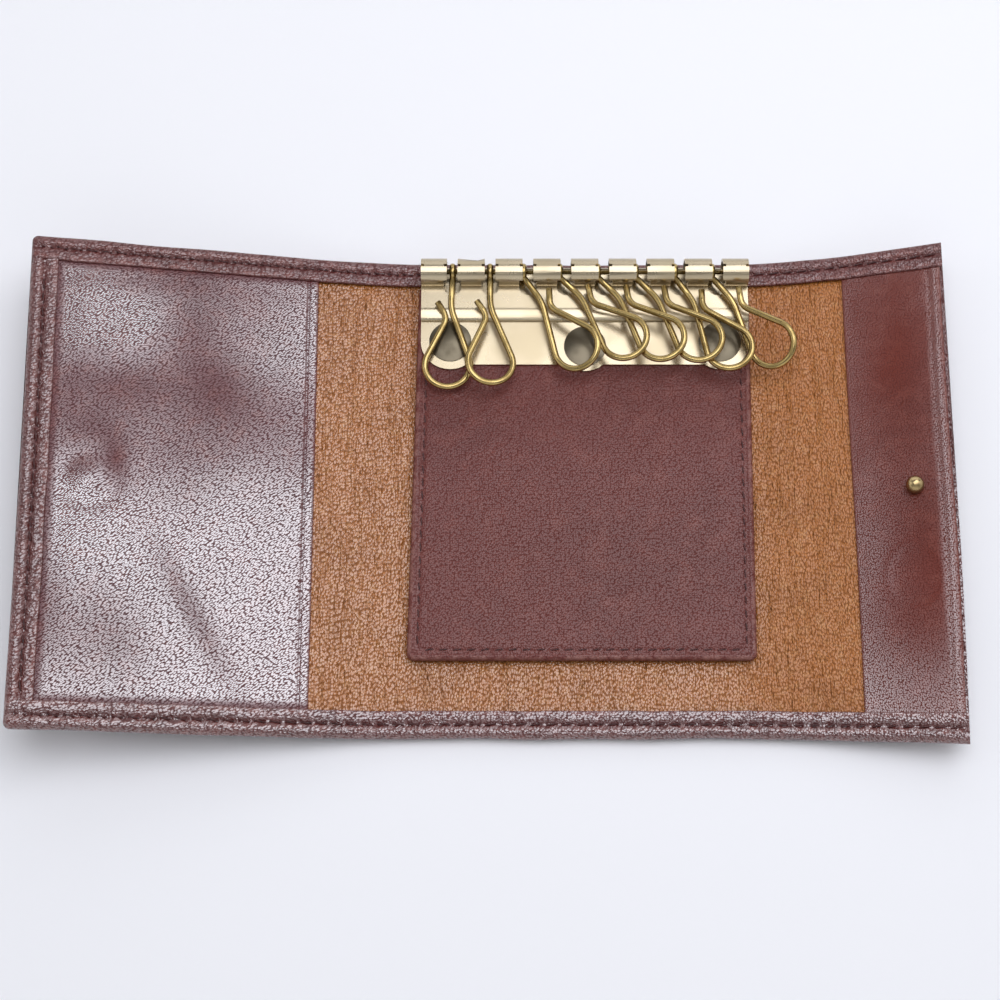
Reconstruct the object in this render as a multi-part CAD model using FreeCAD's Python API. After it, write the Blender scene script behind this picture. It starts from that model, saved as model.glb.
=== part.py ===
"""Folding leather key case, opened flat: hemmed cover, lining, bill pocket, snap, and a key leaf with eight hooks.

Millimetres. X runs across the folds, Y up the case, Z up from the table it lies on.
The origin is the middle of the centre panel's outer face.
"""
import FreeCAD, Part
import math
import os

from FreeCAD import Rotation, Vector

os.makedirs("parts", exist_ok=True)

# Case sheet
case_height = 100.0
hem_width = 5.3
edge_wall = 1.0  # leather at the turned edge
cover_thickness = 0.8
lining_thickness = 0.6
tuck_thickness = 0.5  # what is sewn in under the hem
hem_thickness = 0.6
lining_setback = 1.3  # lining's edge from the turned edge
tuck_setback = 1.6  # tucked pieces' edge from the turned edge

# Folds
left_rest_angle = 11.3
right_rest_angle = 14.0
left_fold_reach = 9.0  # soft length on each side of the fold line
right_fold_reach = 10.7
closed_room = 12.3  # from the table to the closed wing's inner face
snap_clearance = 0.2  # closed flap above the socket

# Wing, flap and what is sewn to them
right_flap_length = 20.3
pocket_setback = 4.3  # pocket's open edge from the soft fold
facing_setback = 0.3  # facing's edge from the soft fold

# Snap
stud_edge = 7.9  # from the flap's free edge to the stud
socket_edge = 13.2  # from the wing's free edge to the socket
snap_y = -0.9
socket_diameter = 9.4
socket_height = 2.9
socket_round = 0.7
socket_bore = 4.3
spring_wire = 0.3
spring_clearance = 0.04
spring_depth = 0.7  # from the socket's mouth
eyelet_flange_diameter = 8.0
eyelet_bore = 2.6
stud_ball_diameter = 3.6
stud_neck_diameter = 2.9
stud_height = 2.9
stud_flange_diameter = 7.4
cap_diameter = 11.0
cap_height = 1.3
cap_rim_height = 0.4
cap_post_diameter = 1.8
seat_clearance = 0.05  # metal in a punched hole or against its fellow

# Leaf that carries the key frame
leaf_side_gap = 6.1  # from the leaf's edge to the fold line
leaf_foot_gap = 15.0  # from the leaf's lower end to the case's lower edge
leaf_side_shift = -1.5  # how far the lower end lies to the left
leaf_corner_radius = 1.5
leaf_clearance = 0.3  # leaf above the lining
leaf_hinge_gap = 0.4  # leaf's upper end from the hem
leaf_front_thickness = 0.9
leaf_core_thickness = 0.5
leaf_back_thickness = 0.6
leaf_rim = 1.6  # turned edge round the core
leaf_core_clearance = 0.1

# Key frame, one rolled brass sheet
frame_margin = 0.5  # leaf beside the frame's ends
frame_end = 6.375  # from the last slot to the frame's end
sheet = 0.5
tube_diameter = 5.6
axle_drop = 4.0  # from the case's upper edge to the axle
band_gap = 0.6  # band above the base sheet
band_drop = 7.4  # from the axle to where the lip starts
lip_drop = 10.0  # from the axle to the lip's edge
lip_crown = 0.22  # how far the lip swells above a straight slope
lip_gap = 0.08
base_drop = 19.5  # from the axle to the base's lower edge
hook_count = 8
slot_pitch = 7.75
slot_width = 2.2
slot_root_angle = -46.0  # end of the slot on the tube's far side
slot_mouth_angle = 214.0  # start of the slot, at the band
slot_hole_diameter = 3.6
crown_notch_length = 0.6
crown_notch_width = 0.6
crown_notch_offset = 0.3  # notch's middle from the top of the tube
overrun = 1.0  # cuts run this far past what they cut

# Rivets
rivet_drop = 14.5  # from the axle to the end rivets
middle_rivet_drop = 1.0
rivet_head_diameter = 8.6
rivet_head_height = 0.9
rivet_head_edge = 0.25
rivet_shank_diameter = 2.4
end_lobe_radius = 6.0
middle_lobe_radius = 5.4
washer_diameter = 6.0
washer_thickness = 0.45

# Hooks and the axle that they hang on
axle_diameter = 0.9
axle_plug_length = 1.2
plug_clearance = 0.03
hook_wire = 1.3
eye_wire = 1.3
eye_clearance = 0.05
neck_reach = 8.0  # from the axle to where the stem flares
loop_reach = 20.4  # from the axle to the loop's centre
loop_radius = 4.6
throat_reach = 10.2  # free end's narrowest place
throat_offset = 0.6
tip_reach = 6.8
tip_offset = 2.75
neck_bend_radius = 10.0
throat_bend_radius = 3.0

# Each hook from left to right: whether it opens to the left, its lean to the right, its swivel and its lift
hook_opens_left = (True, True, False, False, False, False, False, False)
hook_lean_angles = (-2.7, 0.3, 33.2, 41.7, 40.7, 40.2, 33.0, 36.7)
hook_swivel_angles = (0.5, 8.8, 25.4, 14.7, 14.6, 12.4, 8.7, 34.9)
hook_lift_angles = (-2.0, 3.2, 5.5, 8.9, 8.8, 7.9, 5.0, 5.3)

# Places that the sizes above give
half_height = case_height / 2
frame_length = slot_pitch * (hook_count - 1) + 2 * frame_end
leaf_width = frame_length + 2 * frame_margin
fold_offset = leaf_width / 2 + leaf_side_gap
leaf_upper_y = half_height - hem_width - leaf_hinge_gap
leaf_lower_y = leaf_foot_gap - half_height
axle_y = half_height - axle_drop
lip_start_y = axle_y - band_drop
lip_end_y = axle_y - lip_drop
base_lower_y = axle_y - base_drop
rivet_y = axle_y - rivet_drop
rivet_spread = frame_length / 2 - end_lobe_radius

# Levels that the sizes above give
lining_top = cover_thickness + lining_thickness
tuck_top = lining_top + tuck_thickness
hem_top = tuck_top + hem_thickness
leaf_bottom = lining_top + leaf_clearance
leaf_back_top = leaf_bottom + leaf_back_thickness
leaf_core_top = leaf_back_top + leaf_core_thickness
leaf_top = leaf_core_top + leaf_front_thickness
base_top = leaf_top + sheet
tube_radius = tube_diameter / 2
bore_radius = tube_radius - sheet
axle_z = leaf_top + tube_radius
tube_top = leaf_top + tube_diameter
band_bottom = base_top + band_gap
band_top = band_bottom + sheet

# The wing closes over the hooks, and the flap over the wing and its socket
left_axis_height = (closed_room + hem_top) / 2
right_axis_height = (2 * left_axis_height + socket_height + snap_clearance + tuck_top) / 2
stud_along = right_flap_length - stud_edge
socket_along = 2 * fold_offset - left_fold_reach - right_fold_reach - stud_along
left_wing_length = socket_along + socket_edge


def box(x0, x1, y0, y1, z0, z1):
    """A box between two opposite corners."""
    return Part.makeBox(x1 - x0, y1 - y0, z1 - z0, Vector(x0, y0, z0))


def cylinder(radius, x, y, z0, z1):
    """An upright cylinder between two levels."""
    return Part.makeCylinder(radius, z1 - z0, Vector(x, y, z0))


def turned(points_and_arcs, x, y):
    """A solid of revolution about an upright axis, from edges drawn in the XZ plane."""
    face = Part.Face(Part.Wire(points_and_arcs))
    solid = face.revolve(Vector(), Vector(0, 0, 1), 360)
    solid.translate(Vector(x, y, 0))
    return solid


def line(a, b):
    """A straight edge."""
    return Part.LineSegment(a, b).toShape()


def arc(a, middle, b):
    """A round edge through three points."""
    return Part.Arc(a, middle, b).toShape()


def dome(radius, z_edge, z_top):
    """A round edge in the XZ plane, from a dome's rim in to its top on the axis."""
    rise = z_top - z_edge
    ball = (radius**2 + rise**2) / (2 * rise)
    centre = z_top - ball
    half = math.asin(radius / abs(ball)) / 2
    return arc(
        Vector(radius, 0, z_edge),
        Vector(abs(ball) * math.sin(half), 0, centre + ball * math.cos(half)),
        Vector(0, 0, z_top),
    )


def polygon(points):
    """A flat face with straight sides."""
    return Part.Face(Part.makePolygon([*points, points[0]]))


def rectangle(half_y, z0, z1, x):
    """An upright face across the case at one place along it."""
    corners = ((-half_y, z0), (half_y, z0), (half_y, z1), (-half_y, z1))
    return polygon([Vector(x, y, z) for y, z in corners])


def cover_section(x):
    """The cover's section: the outer sheet with its two edges turned over into hems."""
    round_y = half_height - hem_top / 2
    outline = Part.Wire(
        [
            line(Vector(x, -round_y, 0), Vector(x, round_y, 0)),
            arc(Vector(x, round_y, 0), Vector(x, half_height, hem_top / 2), Vector(x, round_y, hem_top)),
            line(Vector(x, round_y, hem_top), Vector(x, -round_y, hem_top)),
            arc(Vector(x, -round_y, hem_top), Vector(x, -half_height, hem_top / 2), Vector(x, -round_y, 0)),
        ]
    )
    cavity = rectangle(half_height - edge_wall, cover_thickness, tuck_top, x)
    window = rectangle(half_height - hem_width, cover_thickness, hem_top + overrun, x)
    return Part.Face(outline).cut(cavity).cut(window).Faces[0]


def lining_section(x):
    """The lining's section."""
    return rectangle(half_height - lining_setback, cover_thickness, lining_top, x)


class Fold:
    """One soft fold: it bends from the centre panel up to a panel that lies raised at rest."""

    def __init__(self, side, reach, axis_height, rest_angle):
        self.side = side
        self.reach = reach
        self.rest_angle = rest_angle
        self.start_x = fold_offset - reach
        self.bend_radius = axis_height + reach / math.tan(math.radians(rest_angle) / 2)

    def mirrored(self, shape):
        """A shape drawn on the right, on this fold's own side."""
        return shape if self.side > 0 else shape.mirror(Vector(), Vector(1, 0, 0))

    def bent(self, section):
        """A section carried round the fold."""
        pivot = Vector(self.start_x, 0, self.bend_radius)
        return self.mirrored(section(self.start_x).revolve(pivot, Vector(0, 1, 0), -self.rest_angle))

    def raised(self, shape):
        """A panel drawn flat, with its inner edge at x = 0, at the end of the fold."""
        shape = shape.copy()
        shape.rotate(Vector(), Vector(0, 1, 0), -self.rest_angle)
        angle = math.radians(self.rest_angle)
        end_x = self.start_x + self.bend_radius * math.sin(angle)
        shape.translate(Vector(end_x, 0, self.bend_radius * (1 - math.cos(angle))))
        return self.mirrored(shape)


left_fold = Fold(-1, left_fold_reach, left_axis_height, left_rest_angle)
right_fold = Fold(1, right_fold_reach, right_axis_height, right_rest_angle)


def across_centre(section):
    """A section run straight across the centre panel."""
    return section(-left_fold.start_x).extrude(Vector(left_fold.start_x + right_fold.start_x, 0, 0))


def rounded_slab(length, end_top):
    """A panel's outer block, with round turned edges on its three free sides."""
    slab = cover_section(0).extrude(Vector(length, 0, 0))
    round_x = length - end_top / 2
    end = Part.Wire(
        [
            line(Vector(0, -half_height, 0), Vector(round_x, -half_height, 0)),
            arc(
                Vector(round_x, -half_height, 0),
                Vector(length, -half_height, end_top / 2),
                Vector(round_x, -half_height, end_top),
            ),
            line(Vector(round_x, -half_height, end_top), Vector(round_x, -half_height, hem_top)),
            line(Vector(round_x, -half_height, hem_top), Vector(0, -half_height, hem_top)),
            line(Vector(0, -half_height, hem_top), Vector(0, -half_height, 0)),
        ]
        if end_top < hem_top
        else [
            line(Vector(0, -half_height, 0), Vector(round_x, -half_height, 0)),
            arc(
                Vector(round_x, -half_height, 0),
                Vector(length, -half_height, end_top / 2),
                Vector(round_x, -half_height, end_top),
            ),
            line(Vector(round_x, -half_height, end_top), Vector(0, -half_height, end_top)),
            line(Vector(0, -half_height, end_top), Vector(0, -half_height, 0)),
        ]
    )
    return slab, Part.Face(end).extrude(Vector(0, case_height, 0))


def left_wing_cover():
    """The wing's outer leather, hemmed on three sides and punched for the socket."""
    slab, end = rounded_slab(left_wing_length, hem_top)
    inner_y = half_height - edge_wall
    wall = box(left_wing_length - edge_wall, left_wing_length, -inner_y, inner_y, cover_thickness, tuck_top)
    hem = box(left_wing_length - hem_width, left_wing_length, -inner_y, inner_y, tuck_top, hem_top)
    hole = cylinder(eyelet_bore / 2 + sheet + seat_clearance, socket_along, snap_y, -overrun, hem_top)
    return slab.fuse([wall, hem]).removeSplitter().common(end).cut(hole)


def left_wing_lining():
    """The wing's lining, cut away round the socket's flange."""
    y = half_height - lining_setback
    sheet_of_lining = box(0, left_wing_length - lining_setback, -y, y, cover_thickness, lining_top)
    hole = cylinder(eyelet_flange_diameter / 2 + seat_clearance, socket_along, snap_y, 0, hem_top)
    return sheet_of_lining.cut(hole)


def pocket_panel():
    """The bill pocket, sewn in under three hems and open along its inner edge."""
    y = half_height - tuck_setback
    return box(pocket_setback, left_wing_length - tuck_setback, -y, y, lining_top, tuck_top)


def right_flap_cover():
    """The flap's outer leather, hemmed above and below and punched for the stud."""
    slab, end = rounded_slab(right_flap_length, lining_top)
    inner_y = half_height - edge_wall
    wall = box(right_flap_length - edge_wall, right_flap_length, -inner_y, inner_y, cover_thickness, lining_top)
    hole = cylinder(cap_post_diameter / 2 + seat_clearance, stud_along, snap_y, -overrun, hem_top)
    return slab.fuse(wall).removeSplitter().common(end).cut(hole)


def right_flap_lining():
    """The flap's lining, cut away round the stud's flange."""
    y = half_height - lining_setback
    sheet_of_lining = box(0, right_flap_length - lining_setback, -y, y, cover_thickness, lining_top)
    hole = cylinder(stud_flange_diameter / 2 + seat_clearance, stud_along, snap_y, 0, hem_top)
    return sheet_of_lining.cut(hole)


def flap_facing():
    """The leather that faces the flap, with the stud's hole."""
    y = half_height - tuck_setback
    outer_x = right_flap_length - lining_top / 2
    panel = box(facing_setback, outer_x, -y, y, lining_top, tuck_top)
    return panel.cut(cylinder(stud_neck_diameter / 2 + seat_clearance, stud_along, snap_y, 0, hem_top))


def snap_socket():
    """The socket's cup, on the wing's outer face, with its mouth away from the wing."""
    outer = socket_diameter / 2
    mouth = socket_bore / 2
    shoulder = eyelet_bore / 2 + sheet + seat_clearance
    low = -socket_height
    turn = socket_round * (1 - math.sqrt(0.5))
    edges = [
        line(Vector(shoulder, 0, 0), Vector(outer, 0, 0)),
        line(Vector(outer, 0, 0), Vector(outer, 0, low + socket_round)),
        arc(
            Vector(outer, 0, low + socket_round),
            Vector(outer - turn, 0, low + turn),
            Vector(outer - socket_round, 0, low),
        ),
        line(Vector(outer - socket_round, 0, low), Vector(mouth, 0, low)),
        line(Vector(mouth, 0, low), Vector(mouth, 0, -sheet)),
        line(Vector(mouth, 0, -sheet), Vector(shoulder, 0, -sheet)),
        line(Vector(shoulder, 0, -sheet), Vector(shoulder, 0, 0)),
    ]
    return turned(edges, socket_along, snap_y)


def socket_spring():
    """The round spring that grips the stud's ball, lying in the socket's bore."""
    ring = Part.makeTorus(socket_bore / 2 - spring_wire / 2 - spring_clearance, spring_wire / 2)
    ring.translate(Vector(socket_along, snap_y, spring_depth - socket_height))
    return ring


def socket_eyelet():
    """The eyelet that clenches the socket to the wing: a flange inside and a short tube through the leather."""
    tube_outer = eyelet_bore / 2 + sheet
    flange = cylinder(eyelet_flange_diameter / 2, socket_along, snap_y, cover_thickness, lining_top)
    tube = cylinder(tube_outer, socket_along, snap_y, -sheet, lining_top)
    bore = cylinder(eyelet_bore / 2, socket_along, snap_y, -overrun, cover_thickness)
    return flange.fuse(tube).removeSplitter().cut(bore)


def snap_stud():
    """The stud: a flange under the facing, a neck and a ball."""
    neck = stud_neck_diameter / 2
    ball = stud_ball_diameter / 2
    flange = stud_flange_diameter / 2
    post = cap_post_diameter / 2 + seat_clearance
    top = tuck_top + stud_height
    ball_z = top - ball
    neck_z = ball_z - math.sqrt(ball**2 - neck**2)
    edges = [
        line(Vector(0, 0, tuck_top), Vector(post, 0, tuck_top)),
        line(Vector(post, 0, tuck_top), Vector(post, 0, cover_thickness)),
        line(Vector(post, 0, cover_thickness), Vector(flange, 0, cover_thickness)),
        line(Vector(flange, 0, cover_thickness), Vector(flange, 0, lining_top)),
        line(Vector(flange, 0, lining_top), Vector(neck, 0, lining_top)),
        line(Vector(neck, 0, lining_top), Vector(neck, 0, neck_z)),
        arc(Vector(neck, 0, neck_z), Vector(ball, 0, ball_z), Vector(0, 0, top)),
        line(Vector(0, 0, top), Vector(0, 0, tuck_top)),
    ]
    return turned(edges, stud_along, snap_y)


def stud_cap():
    """The domed cap on the flap's outer face, with the post that holds the stud."""
    outer = cap_diameter / 2
    post = cap_post_diameter / 2
    rim = -cap_rim_height
    edges = [
        line(Vector(0, 0, -cap_height), Vector(0, 0, tuck_top)),
        line(Vector(0, 0, tuck_top), Vector(post, 0, tuck_top)),
        line(Vector(post, 0, tuck_top), Vector(post, 0, 0)),
        line(Vector(post, 0, 0), Vector(outer, 0, 0)),
        line(Vector(outer, 0, 0), Vector(outer, 0, rim)),
        dome(outer, rim, -cap_height),
    ]
    return turned(edges, stud_along, snap_y)


def leaf_outline(inset, z):
    """The leaf's outline at one level, drawn in by an inset on its three free sides."""
    half = leaf_width / 2 - inset
    low = leaf_lower_y + inset
    shift = leaf_side_shift
    corners = (
        (-half, leaf_upper_y),
        (-half + shift, low),
        (half + shift, low),
        (half, leaf_upper_y),
    )
    return polygon([Vector(x, y, z) for x, y in corners])


def leaf_layer(inset, z0, z1, corner_radius):
    """One layer of the leaf, with its two lower corners rounded."""
    layer = leaf_outline(inset, z0).extrude(Vector(0, 0, z1 - z0))
    middle_y = (leaf_lower_y + leaf_upper_y) / 2
    lower_corners = [
        edge
        for edge in layer.Edges
        if abs(edge.tangentAt(edge.FirstParameter).z) > math.sqrt(0.5) and edge.CenterOfMass.y < middle_y
    ]
    return layer.makeFillet(corner_radius, lower_corners)


def rivet_places():
    """The three rivets' places on the leaf."""
    return (
        (-rivet_spread, rivet_y),
        (0, rivet_y - middle_rivet_drop),
        (rivet_spread, rivet_y),
    )


def rivet_holes(radius, z0, z1):
    """Cutters for the three rivets."""
    return [cylinder(radius, x, y, z0, z1) for x, y in rivet_places()]


shank_hole = rivet_shank_diameter / 2 + seat_clearance


def leaf_front():
    """The leaf's front leather, turned down round the core on three sides."""
    pan = leaf_layer(0, leaf_bottom, leaf_top, leaf_corner_radius)
    hollow = leaf_layer(leaf_rim, leaf_bottom, leaf_core_top, leaf_corner_radius)
    return pan.cut([hollow, *rivet_holes(shank_hole, leaf_bottom - overrun, leaf_top + overrun)])


def leaf_core():
    """The stiff board in the leaf."""
    board = leaf_layer(leaf_rim + leaf_core_clearance, leaf_back_top, leaf_core_top, leaf_corner_radius)
    return board.cut(rivet_holes(shank_hole, leaf_bottom, leaf_top))


def leaf_back():
    """The leaf's back leather, cut away round the rivets' washers."""
    back = leaf_layer(leaf_rim + leaf_core_clearance, leaf_bottom, leaf_back_top, leaf_corner_radius)
    return back.cut(rivet_holes(washer_diameter / 2 + seat_clearance, leaf_bottom - overrun, leaf_top))


def leaf_tab():
    """The leaf's thin root, sewn in under the upper hem, on which the leaf turns."""
    half = min(left_fold.start_x, right_fold.start_x) - leaf_rim
    inner_y = half_height - hem_width - leaf_hinge_gap / 2
    return box(-half, half, inner_y, half_height - tuck_setback, lining_top, tuck_top)


def frame_blank():
    """The rolled sheet's section, run along the frame: base, tube, band and curved lip."""
    x = -frame_length / 2
    lowest = min(rivet_y - end_lobe_radius, rivet_y - middle_rivet_drop - middle_lobe_radius)
    front_y = lowest - overrun
    outer_y = axle_y - math.sqrt(tube_radius**2 - (band_top - axle_z) ** 2)
    inner_y = axle_y - math.sqrt(bore_radius**2 - (band_bottom - axle_z) ** 2)
    edge_low = base_top + lip_gap
    edge_high = edge_low + sheet
    middle_y = (lip_start_y + lip_end_y) / 2

    def at(y, z):
        return Vector(x, y, z)

    def on_tube(radius, angle):
        turn = math.radians(angle)
        return at(axle_y + radius * math.cos(turn), axle_z + radius * math.sin(turn))

    section = [
        line(at(front_y, leaf_top), at(axle_y, leaf_top)),
        arc(on_tube(tube_radius, -90), on_tube(tube_radius, 0), on_tube(tube_radius, 90)),
        arc(on_tube(tube_radius, 90), on_tube(tube_radius, 135), at(outer_y, band_top)),
        line(at(outer_y, band_top), at(lip_start_y, band_top)),
        arc(
            at(lip_start_y, band_top),
            at(middle_y, (band_top + edge_high) / 2 + lip_crown),
            at(lip_end_y, edge_high),
        ),
        line(at(lip_end_y, edge_high), at(lip_end_y, edge_low)),
        arc(
            at(lip_end_y, edge_low),
            at(middle_y, (band_bottom + edge_low) / 2 + lip_crown),
            at(lip_start_y, band_bottom),
        ),
        line(at(lip_start_y, band_bottom), at(inner_y, band_bottom)),
        arc(at(inner_y, band_bottom), on_tube(bore_radius, 135), on_tube(bore_radius, 90)),
        arc(on_tube(bore_radius, 90), on_tube(bore_radius, 0), on_tube(bore_radius, -90)),
        line(at(axle_y, base_top), at(front_y, base_top)),
        line(at(front_y, base_top), at(front_y, leaf_top)),
    ]
    return Part.Face(Part.Wire(section)).extrude(Vector(frame_length, 0, 0))


def frame_plan():
    """The frame's outline from above: a long strip with a round lobe at each rivet."""
    half = frame_length / 2
    low, high = leaf_top - overrun, tube_top + overrun
    far_y = axle_y + tube_radius + overrun
    strip = box(-half, half, rivet_y, far_y, low, high)
    skirt = box(-rivet_spread, rivet_spread, base_lower_y, rivet_y, low, high)
    radii = (end_lobe_radius, middle_lobe_radius, end_lobe_radius)
    lobes = [
        cylinder(radius, x, y, low, high)
        for (x, y), radius in zip(rivet_places(), radii)
    ]
    return strip.fuse([skirt, *lobes])


def slot_places():
    """The slots' places along the tube."""
    first = -slot_pitch * (hook_count - 1) / 2
    return [first + slot_pitch * index for index in range(hook_count)]


def slot_cutter(x):
    """One hook's slot: round the tube, with a round end in the band and a nick at the top on each side."""
    start_x = x - slot_width / 2
    reach = tube_radius + overrun
    corner_count = 12
    step = (slot_mouth_angle - slot_root_angle) / corner_count
    turns = [math.radians(slot_root_angle + step * index) for index in range(corner_count + 1)]
    rim = [
        Vector(start_x, axle_y + reach * math.cos(turn), axle_z + reach * math.sin(turn))
        for turn in turns
    ]
    fan = polygon([Vector(start_x, axle_y, axle_z), *rim]).extrude(Vector(slot_width, 0, 0))
    mouth_y = axle_y - tube_radius
    hole = cylinder(slot_hole_diameter / 2, x, mouth_y, band_bottom - band_gap / 2, axle_z + hook_wire)
    return fan.fuse([hole, crown_notch(x, slot_width / 2)])


def crown_notch(x, half_gap):
    """A small nick at the top of the tube, on both sides of a gap."""
    reach = half_gap + crown_notch_length
    y = axle_y + crown_notch_offset
    half = crown_notch_width / 2
    return box(x - reach, x + reach, y - half, y + half, axle_z + bore_radius / 2, tube_top + overrun)


def key_frame():
    """The brass frame."""
    ends = [crown_notch(side * frame_length / 2, 0) for side in (-1, 1)]
    cutters = [slot_cutter(x) for x in slot_places()]
    holes = rivet_holes(shank_hole, leaf_top - overrun, base_top + band_gap / 2)
    return frame_blank().common(frame_plan()).cut([*cutters, *ends, *holes]).Solids[0]


def frame_rivet(x, y):
    """One rivet: a low domed head and a shank through the frame and leaf."""
    head = rivet_head_diameter / 2
    shank = rivet_shank_diameter / 2
    top = base_top + rivet_head_height
    edge = base_top + rivet_head_edge
    edges = [
        line(Vector(0, 0, leaf_bottom), Vector(shank, 0, leaf_bottom)),
        line(Vector(shank, 0, leaf_bottom), Vector(shank, 0, base_top)),
        line(Vector(shank, 0, base_top), Vector(head, 0, base_top)),
        line(Vector(head, 0, base_top), Vector(head, 0, edge)),
        dome(head, edge, top),
        line(Vector(0, 0, top), Vector(0, 0, leaf_bottom)),
    ]
    return turned(edges, x, y)


def rivet_washer(x, y):
    """One rivet's washer, let into the leaf's back."""
    disc = cylinder(washer_diameter / 2, x, y, leaf_bottom, leaf_bottom + washer_thickness)
    return disc.cut(cylinder(shank_hole, x, y, leaf_bottom - overrun, leaf_top))


def hook_axle():
    """The wire that the hooks hang on, with a plug at each end of the tube."""
    half = frame_length / 2
    along = Vector(1, 0, 0)
    rod = Part.makeCylinder(axle_diameter / 2, frame_length, Vector(-half, axle_y, axle_z), along)
    plugs = [
        Part.makeCylinder(bore_radius - plug_clearance, axle_plug_length, Vector(x, axle_y, axle_z), along)
        for x in (-half, half - axle_plug_length)
    ]
    return rod.fuse(plugs).removeSplitter()


def tangent_point(start, centre, radius, side):
    """Where a line from a point touches a circle, on its left (-1) or right (1) side."""
    gap = centre - start
    turn = math.asin(radius / gap.Length)
    run = math.sqrt(gap.Length**2 - radius**2)
    heading = Rotation(Vector(0, 0, 1), side * math.degrees(turn)).multVec(gap)
    return start + heading.normalize() * run


def bend(before, corner, after, radius):
    """The ends and middle of a round bend between two straight runs."""
    back = (before - corner).normalize()
    ahead = (after - corner).normalize()
    half = math.acos(back.dot(ahead)) / 2
    middle = (back + ahead).normalize()
    run = radius / math.tan(half)
    top = corner + middle * (radius / math.sin(half) - radius)
    return corner + back * run, top, corner + ahead * run


eye_radius = axle_diameter / 2 + eye_clearance + eye_wire / 2


def hook_path(opens_left):
    """The hook's wire drawn flat: stem, open loop and free tip. It starts on the eye and hangs along -Y."""

    def at(offset, reach):
        return Vector(offset, eye_radius - reach, 0)

    start, neck = at(0, eye_radius), at(0, neck_reach)
    centre, bottom = at(0, loop_reach), at(0, loop_reach + loop_radius)
    throat, tip = at(throat_offset, throat_reach), at(tip_offset, tip_reach)
    left = tangent_point(neck, centre, loop_radius, -1)
    right = tangent_point(throat, centre, loop_radius, 1)
    neck_in, neck_top, neck_out = bend(start, neck, left, neck_bend_radius)
    throat_in, throat_top, throat_out = bend(right, throat, tip, throat_bend_radius)
    path = Part.Wire(
        [
            line(start, neck_in),
            arc(neck_in, neck_top, neck_out),
            line(neck_out, left),
            arc(left, bottom, right),
            line(right, throat_in),
            arc(throat_in, throat_top, throat_out),
            line(throat_out, tip),
        ]
    )
    return path.mirror(Vector(), Vector(1, 0, 0)) if opens_left else path


def key_hook(slot_x, opens_left, lean, swivel, lift):
    """One spring-wire hook: its eye round the axle, and its loop leaning, swivelled and lifted as it lies."""
    path = hook_path(opens_left)
    wire_end = Part.Wire(Part.Circle(Vector(), Vector(0, -1, 0), hook_wire / 2).toShape())
    wire = path.makePipeShell([wire_end], True)
    wire.rotate(Vector(), Vector(0, 1, 0), swivel if opens_left else -swivel)
    wire.rotate(Vector(), Vector(0, 0, 1), lean)
    wire.rotate(Vector(), Vector(1, 0, 0), -lift)
    wall_reach = (tube_radius + bore_radius) / 2 - eye_radius
    eye_x = slot_x - wall_reach * math.tan(math.radians(lean))
    wire.translate(Vector(eye_x, axle_y - eye_radius, axle_z))
    eye = Part.makeTorus(eye_radius, eye_wire / 2, Vector(eye_x, axle_y, axle_z), Vector(1, 0, 0))
    return wire.fuse(eye).Solids[0]


def hooks():
    """The eight hooks, from left to right."""
    rows = zip(slot_places(), hook_opens_left, hook_lean_angles, hook_swivel_angles, hook_lift_angles)
    return {f"key_hook_{number}": key_hook(*row) for number, row in enumerate(rows, 1)}


def group(maker):
    """Three like fasteners, kept together."""
    return Part.makeCompound([maker(x, y) for x, y in rivet_places()])


nodes = {
    "cover_centre": across_centre(cover_section),
    "lining_centre": across_centre(lining_section),
    "cover_left_fold": left_fold.bent(cover_section),
    "lining_left_fold": left_fold.bent(lining_section),
    "cover_right_fold": right_fold.bent(cover_section),
    "lining_right_fold": right_fold.bent(lining_section),
    "cover_left_wing": left_fold.raised(left_wing_cover()),
    "lining_left_wing": left_fold.raised(left_wing_lining()),
    "pocket_panel": left_fold.raised(pocket_panel()),
    "snap_socket": left_fold.raised(snap_socket()),
    "socket_spring": left_fold.raised(socket_spring()),
    "socket_eyelet": left_fold.raised(socket_eyelet()),
    "cover_right_flap": right_fold.raised(right_flap_cover()),
    "lining_right_flap": right_fold.raised(right_flap_lining()),
    "flap_facing": right_fold.raised(flap_facing()),
    "snap_stud": right_fold.raised(snap_stud()),
    "stud_cap": right_fold.raised(stud_cap()),
    "leaf_tab": leaf_tab(),
    "leaf_front": leaf_front(),
    "leaf_core": leaf_core(),
    "leaf_back": leaf_back(),
    "key_frame": key_frame(),
    "frame_rivets": group(frame_rivet),
    "rivet_washers": group(rivet_washer),
    "hook_axle": hook_axle(),
    **hooks(),
}

for name, shape in nodes.items():
    shape.exportStep(f"parts/{name}.step")
    print(name, len(shape.Solids), "solids", round(shape.Volume, 2), "mm3", "valid" if shape.isValid() else "INVALID")
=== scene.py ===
"""An opened leather key case with its brass key frame and eight wire hooks."""

import logging
import math
from dataclasses import dataclass, field
from enum import Enum

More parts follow.
